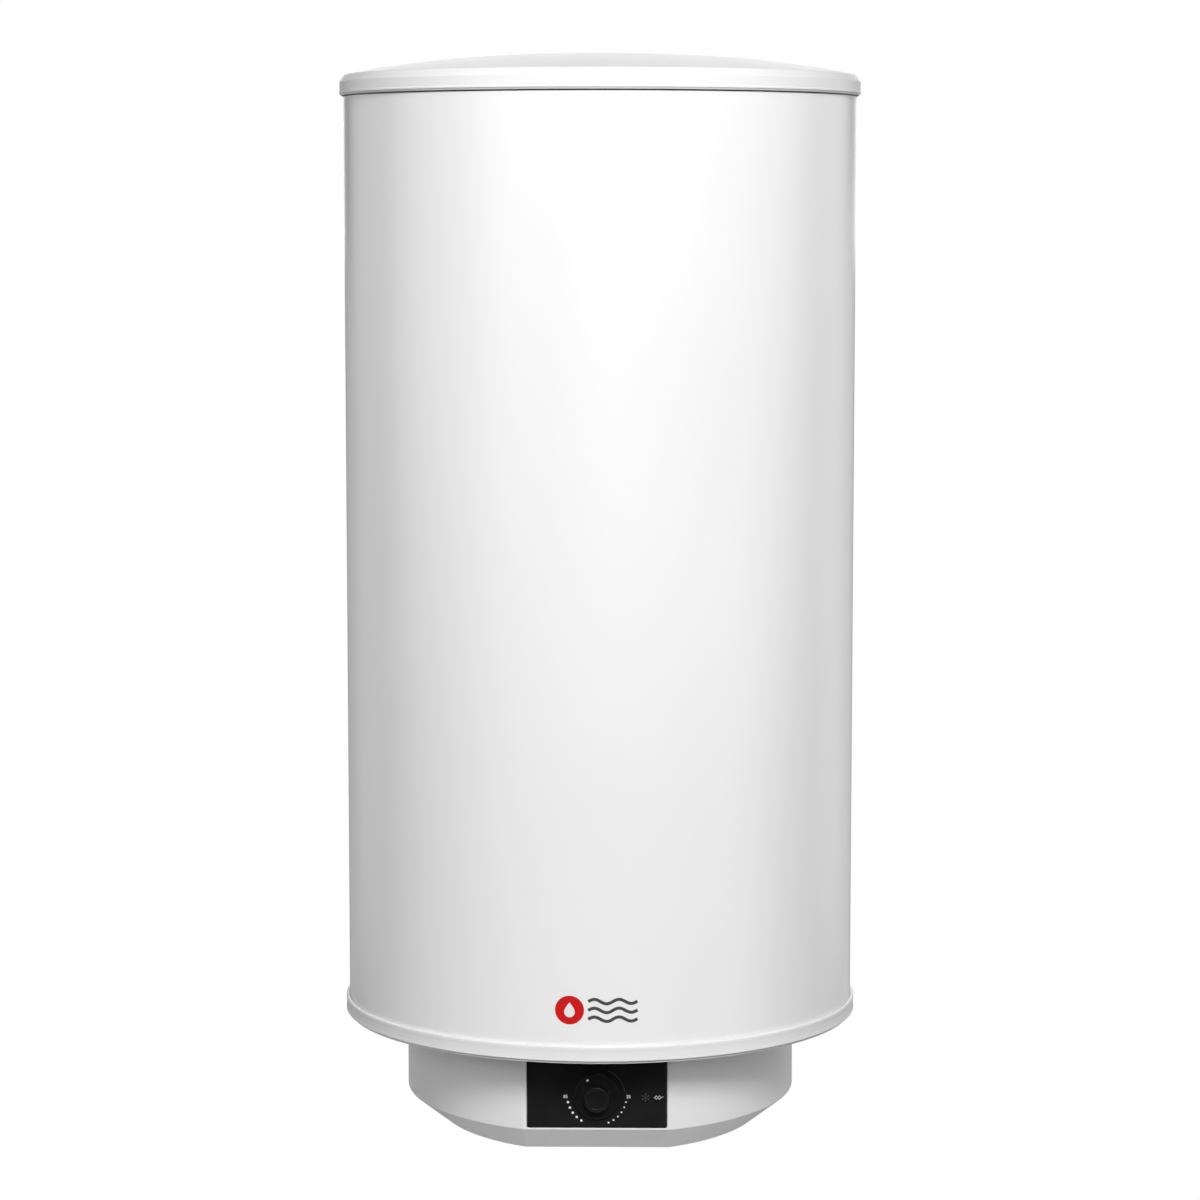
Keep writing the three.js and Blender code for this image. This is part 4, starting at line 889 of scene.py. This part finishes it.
def icons():
    """A coil for heating and a snow crystal for frost protection."""
    heating = on_lens(HEATING_X)
    crests = [(-4.2, 0), (-3.4, 0), (-2.0, 1.6), (-0.6, 0), (0.8, 1.6), (2.2, 0), (4.2, 0.8)]
    troughs = [(-3.4, 0), (-2.0, -1.6), (-0.6, 0), (0.8, -1.6), (2.2, 0)]
    printed("heating_icon", [ribbon(line, 0.5, heating) for line in (crests, troughs)], ICON_LIT)
    frost = on_lens(FROST_X)
    strokes = []
    for k in range(6):
        t = math.radians(60 * k + 30)
        out = Vector((math.cos(t), math.sin(t)))
        strokes.append(ribbon([tuple(out * 0.3), tuple(out * 3.9)], 0.42, frost))
        for side in (-1, 1):
            b = t + side * math.radians(50)
            root = out * 2.3
            tip = root + Vector((math.cos(b), math.sin(b))) * 1.3
            strokes.append(ribbon([tuple(root), tuple(tip)], 0.36, frost))
    printed("frost_icon", strokes, ICON_DIM)


dial_print()
lens("heating_lens", HEATING_X, "heating_lamp_lens")
lens("frost_lens", FROST_X, "frost_lamp_lens")
icons()

# ---- knob ---------------------------------------------------------------------------------

def knob():
    """A thin skirt with a fluted grip on it, hollow behind, and a printed pointer."""
    grip_tip = KNOB_GRIP - 0.7
    flutes = 30
    corners = [
        (0, 10.5, 0), (3.35, 10.5, 0), (3.35, 0.5, 0.3), (6, 0.5, 0.4), (6, 12, 0.5), (9, 12, 0.5),
        (9, 1.8, 0.3), (18.4, 1.8, 0.3), (18.4, 0, 0.3), (KNOB_RADIUS, 0, 0.3),
        (KNOB_RADIUS, KNOB_SKIRT, 1.0), (KNOB_GRIP, KNOB_SKIRT, 0.8), (grip_tip, KNOB_DEPTH, 1.1),
        (grip_tip - 2.2, KNOB_DEPTH, 0.4), (grip_tip - 2.6, KNOB_DEPTH - 0.4, 0.4),
        (0, KNOB_DEPTH - 0.4, 0),
    ]

    def grip(t, radius, height):
        on_side = grip_tip - 0.4 < radius < KNOB_GRIP
        if on_side and KNOB_SKIRT + 1 < height < KNOB_DEPTH - 1.2:
            return 1 - 0.03 * (0.5 + 0.5 * math.cos(flutes * t)) ** 2
        return 1

    body = revolve("knob_body", rounded(corners, 5), FINISHES["knob_black"], 240,
                   (0, KNOB_BACK, DIAL_HEIGHT), forward, angle=40, radial=grip)
    fitted(body, "knob_black", "temperature_knob", body="knob")
    out = math.radians(POINTER_ANGLE)
    along = Vector((math.cos(out), math.sin(out)))
    here = along * POINTER_RADIUS
    face = KNOB_BACK - KNOB_SKIRT - PRINT_LIFT
    across = Vector((-along.y, along.x)) * 1.15
    dash = ribbon([tuple(here - across), tuple(here), tuple(here + across)], 1.6,
                  lambda u, v: (u, face, DIAL_HEIGHT + v))
    printed("knob_pointer", [dash], PRINT_WHITE_PAINTED_GLOW, body="knob")


knob()

# ---- fixings under and behind -------------------------------------------------------------

def cover_screws():
    """Four cross-headed screws, in the wells of the cover's underside."""
    seat = SCREW_SEAT - GAP
    long, short = 2.4, 0.45
    outline = rounded([(0, -3.6, 0), (3.4, -3.6, 1.0), (4.6, -2.0, 0.9), (4.6, 0, 0.3), (1.8, 0, 0),
                       (1.8, 17, 0), (0.4, 19, 0), (0, 19, 0)], 4)
    for i, (x, y) in enumerate(SCREW_PLACES, 1):
        name = "cover_screw_head_%d" % i
        screw = revolve(name, outline, FINISHES["zinc_steel"], 48, (x, y, seat))
        cross = [plain_block((x - w, y - h, seat - 4), (x + w, y + h, seat - 1.6))
                 for w, h in ((long, short), (short, long))]
        carve(screw, cross)
        fitted(screw, "zinc_steel", "cover_screw_%d" % i)


def pipes():
    """The two stubs: plain tube with a thread on the lower end."""
    low, high, bore, outside = -24.0, 56.0, 7.6, 10.2
    pitch, crest, root, threaded = 1.81, 10.45, 9.5, 19
    outline = [(bore, high), (bore, low + 0.8), (bore + 0.6, low), (root, low)]
    z = low + 1.2
    while z < low + threaded:
        outline += [(root, z), (crest, z + pitch * 0.45), (crest, z + pitch * 0.55)]
        z += pitch
    outline += [(root, z), (outside, z + 1.2), (outside, high)]
    for name, side, node in (("cold_stub", 1, "cold_inlet_pipe"), ("hot_stub", -1, "hot_outlet_pipe")):
        at = (side * PIPE_X, PIPE_Y, 0)
        pipe = revolve(name, outline, FINISHES["galvanised_steel"], 96, at, angle=28)
        fitted(pipe, "galvanised_steel", node)


def collars():
    """The blue and the red ring round the pipes, under the rim's floor."""
    inside, flange, neck = 10.9, 20, 16.5
    top = FLOOR_UNDERSIDE - GAP
    corners = [(inside, top - 3, 0.4), (flange, top - 3, 1.0), (flange, top, 0.3), (neck, top, 0),
               (neck, 8, 0.5), (inside, 8, 0.5)]
    rows = (("cold_collar", 1, "cold_water_collar", "blue_plastic"),
            ("hot_collar", -1, "hot_water_collar", "red_plastic"))
    for name, side, node, slot in rows:
        at = (side * PIPE_X, PIPE_Y, 0)
        collar = revolve(name, rounded(corners, 5), FINISHES[slot], 96, at)
        fitted(collar, slot, node)


def gland():
    """The cable gland: a thread through the wall, a hexagon and a ribbed dome nut."""
    bore, thread, hexagon, dome = 5.2, 8.9, 12.5, 11.4
    ribs = 16

    def shaped(t, radius, height):
        if radius > dome + 0.6 and height < 6.6:
            step = math.pi / 3
            return min(1, 0.9 / math.cos((t % step) - step / 2))
        if dome - 0.8 < radius < dome + 0.4 and 7.5 < height < 14.6:
            return 1 - 0.04 * (0.5 + 0.5 * math.cos(ribs * t)) ** 3
        return 1

    corners = [(bore, -11, 0.3), (thread, -11, 0.5), (thread, GAP, 0), (hexagon, GAP, 0.3),
               (hexagon, 1.2, 0.2), (hexagon, 6, 0.9), (dome, 6.4, 0.2), (dome, 14.8, 1.0),
               (8, 20, 1.5), (bore, 20, 0.7)]
    body = revolve("gland_body", rounded(corners, 5), FINISHES["gland_black"], 192,
                   (0, COVER_BACK, GLAND_HEIGHT), backward, radial=shaped)
    fitted(body, "gland_black", "cable_gland")


def hook_slot(x):
    """A cutter for one slot of the bracket, with its edges broken on both faces."""
    half, high = HOOK_SLOT_RADIUS, HOOK_SLOT_HALF_HEIGHT
    outline = box_outline(2 * half, 2 * high, half - 0.01, x, 0, 12)
    front = WALL_Y - BRACKET_PLATE
    rings = []
    for y, grow in ((front - 9, 0.5), (front, 0.5), (front + 0.5, 0), (WALL_Y - 0.5, 0), (WALL_Y, 0.5),
                    (WALL_Y + 2, 0.5)):
        grown = inset_ring(outline, -grow, 0)
        rings.append([(a, y, b) for a, b, _ in grown])
    return stacked("cutter", rings, FINISHES["galvanised_steel"], (0, 0, BRACKET_LEVEL))


def bracket():
    """The hanging plate with its folded edges, and the two legs that go into the jacket."""
    steel = FINISHES["galvanised_steel"]
    front = WALL_Y - BRACKET_PLATE
    half, reach = BRACKET_HALF_HEIGHT, BRACKET_HALF_WIDTH - BRACKET_PLATE
    leg_start = 195.3
    outline = box_outline(2 * BRACKET_HALF_WIDTH, 2 * half, 3)
    plate = slab("wall_plate", outline, -WALL_Y, -front, steel, 0.5, (0, 0, BRACKET_LEVEL), forward)
    parts = []
    for low in (half - BRACKET_PLATE, -half):
        level = BRACKET_LEVEL + low
        parts.append(brick("part", (-reach, front - 6, level),
                           (reach, front + 1, level + BRACKET_PLATE), steel, 0.5))
    for x0 in (LEG_X - BRACKET_PLATE, -LEG_X):
        parts.append(brick("part", (x0, leg_start, BRACKET_LEVEL - half),
                           (x0 + BRACKET_PLATE, front + 1, BRACKET_LEVEL + half), steel, 0.4))
    carve(plate, parts, "UNION")
    carve(plate, [hook_slot(-HOOK_SLOT_X), hook_slot(HOOK_SLOT_X)])
    fitted(plate, "galvanised_steel", "wall_bracket")


def spacer():
    """The pad that keeps the jacket off the wall, hollowed to its curve, with four pockets."""
    low, high = SPACER_LEVEL - 15, SPACER_LEVEL + 15
    pad = brick("spacer_pad", (-30, 219, low), (30, WALL_Y, high), FINISHES["inner_plastic"], 1.2)
    cutters = [plug(JACKET_RADIUS + 0.4, low - 5, high + 5, (0, 0, 0), segments=256)]
    for x in (-19.5, -6.5, 6.5, 19.5):
        cutters.append(plain_block((x - 4.8, WALL_Y - 3.2, low + 4), (x + 4.8, WALL_Y + 1, high - 4)))
    fitted(carve(pad, cutters), "inner_plastic", "lower_spacer")


cover_screws()
pipes()
collars()
gland()
bracket()
spacer()

# ---- emblem -------------------------------------------------------------------------------

def on_jacket(x, z, lift=0.06):
    """Wraps a flat print, right and up, round the front of the jacket."""
    def place(u, v):
        angle = -math.pi / 2 + (x + u) / JACKET_RADIUS
        radius = JACKET_RADIUS + lift
        return (radius * math.cos(angle), radius * math.sin(angle), z + v)
    return place


def grown_disc(outline, place, rings=8):
    """A star-shaped print filled with rings, so that it follows a curved surface."""
    count = len(outline)
    vertices = [place(0, 0)]
    for i in range(1, rings + 1):
        vertices += [place(u * i / rings, v * i / rings) for u, v in outline]
    faces = [(0, 1 + k, 1 + (k + 1) % count) for k in range(count)]
    for i in range(1, rings):
        a, b = 1 + (i - 1) * count, 1 + i * count
        faces += [(a + k, a + (k + 1) % count, b + (k + 1) % count, b + k) for k in range(count)]
    return vertices, faces


def emblem():
    """A red disc with a water drop in it, and three waves beside it."""
    turns = [2 * math.pi * k / 64 for k in range(64)]
    circle = [(EMBLEM_DISC_RADIUS * math.cos(t), EMBLEM_DISC_RADIUS * math.sin(t)) for t in turns]
    printed("emblem_disc", [grown_disc(circle, on_jacket(EMBLEM_DISC_X, EMBLEM_HEIGHT))], EMBLEM_DISC)
    drop = []
    tall, slim, sunk = 1.75, 0.72, 1.6
    for t in turns:
        u, v = EMBLEM_DROP_RADIUS * math.cos(t), EMBLEM_DROP_RADIUS * math.sin(t)
        if v > 0:
            u *= 1 - (v / EMBLEM_DROP_RADIUS) ** 1.6 * slim
            v *= tall
        drop.append((u, v - sunk))
    printed("emblem_drop", [grown_disc(drop, on_jacket(EMBLEM_DISC_X, EMBLEM_HEIGHT, 0.12))],
            EMBLEM_LIGHT)
    waves = []
    spacing, swing, reach, steps = 7.6, 1.9, 21, 90
    for v in (spacing, 0.0, -spacing):
        points = [(-reach + 2 * reach * k / steps, v + swing * math.sin(4 * math.pi * k / steps))
                  for k in range(steps + 1)]
        waves.append(ribbon(points, 2.7, on_jacket(EMBLEM_WAVES_X, EMBLEM_HEIGHT)))
    printed("emblem_waves", waves, EMBLEM_DARK)


emblem()

# ---- room, light and camera ---------------------------------------------------------------

AXIS = Vector((ORIGIN.x, ORIGIN.y, 0))
CAMERA_AZIMUTH = 0.9
CAMERA_DISTANCE = 3.28
CAMERA_HEIGHT = ORIGIN.z + 0.730
CAMERA_DOWN = 6.28
CAMERA_LENS = 110.0

FLOOR_DROP = 0.55
FLOOR_RADIUS = 0.8
LIGHTS = [
    # name, place relative to the axis at mid height, size, watts
    ("top_front", (0.3, -1.8, 2.3), (2.4, 1.6), 16.5),
    ("front_key", (0.5, -3.2, 2.0), (1.0, 1.0), 98.2),
    ("front_fill", (0.3, -3.3, 1.0), (1.0, 1.0), 18.6),
    ("front_left", (-2.2, -2.6, 0.8), (1.6, 2.0), 20.8),
    ("left", (-3.0, -0.5, 0.8), (2.0, 2.4), 11.5),
    ("right", (3.0, -0.5, 0.8), (2.0, 2.4), 14.7),
    ("right_low", (2.4, -1.2, -0.6), (1.2, 1.2), 4.9),
    ("back", (0.0, 3.0, 1.0), (2.4, 1.6), 35.0),
    ("back_left", (-2.4, 1.9, 0.0), (1.4, 2.0), 9.8),
    ("back_right", (2.4, 1.9, 0.0), (1.4, 2.0), 11.8),
    ("back_low_left", (-1.5, 2.8, -0.8), (0.9, 2.2), 4.4),
    ("back_low_right", (1.5, 2.8, -0.7), (0.9, 2.2), 5.4),
]


def area_light(name, place, size, watts, target):
    data = bpy.data.lights.new(name, "AREA")
    data.shape = "RECTANGLE"
    data.size, data.size_y = size
    data.energy = watts
    light = bpy.data.objects.new(name, data)
    bpy.context.scene.collection.objects.link(light)
    light.location = place
    light.rotation_mode = "QUATERNION"
    light.rotation_quaternion = (Vector(place) - Vector(target)).to_track_quat("Z", "Y")


def floor():
    """A pale disc far below, which throws light up under the heater."""
    level = cad_box[0].z - FLOOR_DROP
    vertices, faces = disc_mesh(0, 0, FLOOR_RADIUS, lambda u, v: (AXIS.x + u, AXIS.y + v, level), 128)
    mesh = bpy.data.meshes.new("floor")
    mesh.from_pydata(vertices, [], faces)
    mesh.materials.append(FLOOR)
    piece = bpy.data.objects.new("floor", mesh)
    bpy.context.scene.collection.objects.link(piece)


def backdrop_world():
    """White where the camera looks past the heater, and dark to everything else."""
    room = bpy.data.worlds.new("studio")
    room.use_nodes = True
    nodes, links = room.node_tree.nodes, room.node_tree.links
    seen = nodes.new("ShaderNodeLightPath")
    shown = nodes.new("ShaderNodeBackground")
    shown.inputs["Color"].default_value = (1, 1, 1, 1)
    lit = nodes["Background"]
    lit.inputs["Color"].default_value = (1, 1, 1, 1)
    lit.inputs["Strength"].default_value = 0.0
    mix = nodes.new("ShaderNodeMixShader")
    links.new(seen.outputs["Is Camera Ray"], mix.inputs[0])
    links.new(lit.outputs[0], mix.inputs[1])
    links.new(shown.outputs[0], mix.inputs[2])
    links.new(mix.outputs[0], nodes["World Output"].inputs["Surface"])
    bpy.context.scene.world = room


def camera():
    data = bpy.data.cameras.new("camera")
    data.lens = CAMERA_LENS
    data.sensor_width = 36.0
    view = bpy.data.objects.new("camera", data)
    bpy.context.scene.collection.objects.link(view)
    turn = math.radians(CAMERA_AZIMUTH)
    view.location = (
        AXIS.x + CAMERA_DISTANCE * math.sin(turn),
        AXIS.y - CAMERA_DISTANCE * math.cos(turn),
        CAMERA_HEIGHT,
    )
    view.rotation_euler = (math.radians(90 - CAMERA_DOWN), 0, turn)
    bpy.context.scene.camera = view


floor()
backdrop_world()
middle = (AXIS.x, AXIS.y, (cad_box[0].z + cad_box[1].z) / 2)
for light_name, light_place, light_size, light_watts in LIGHTS:
    centre = tuple(a + b for a, b in zip(middle, light_place))
    area_light(light_name, centre, light_size, light_watts, middle)
camera()
bpy.context.scene.view_settings.view_transform = "Standard"
bpy.context.scene.view_settings.look = "None"
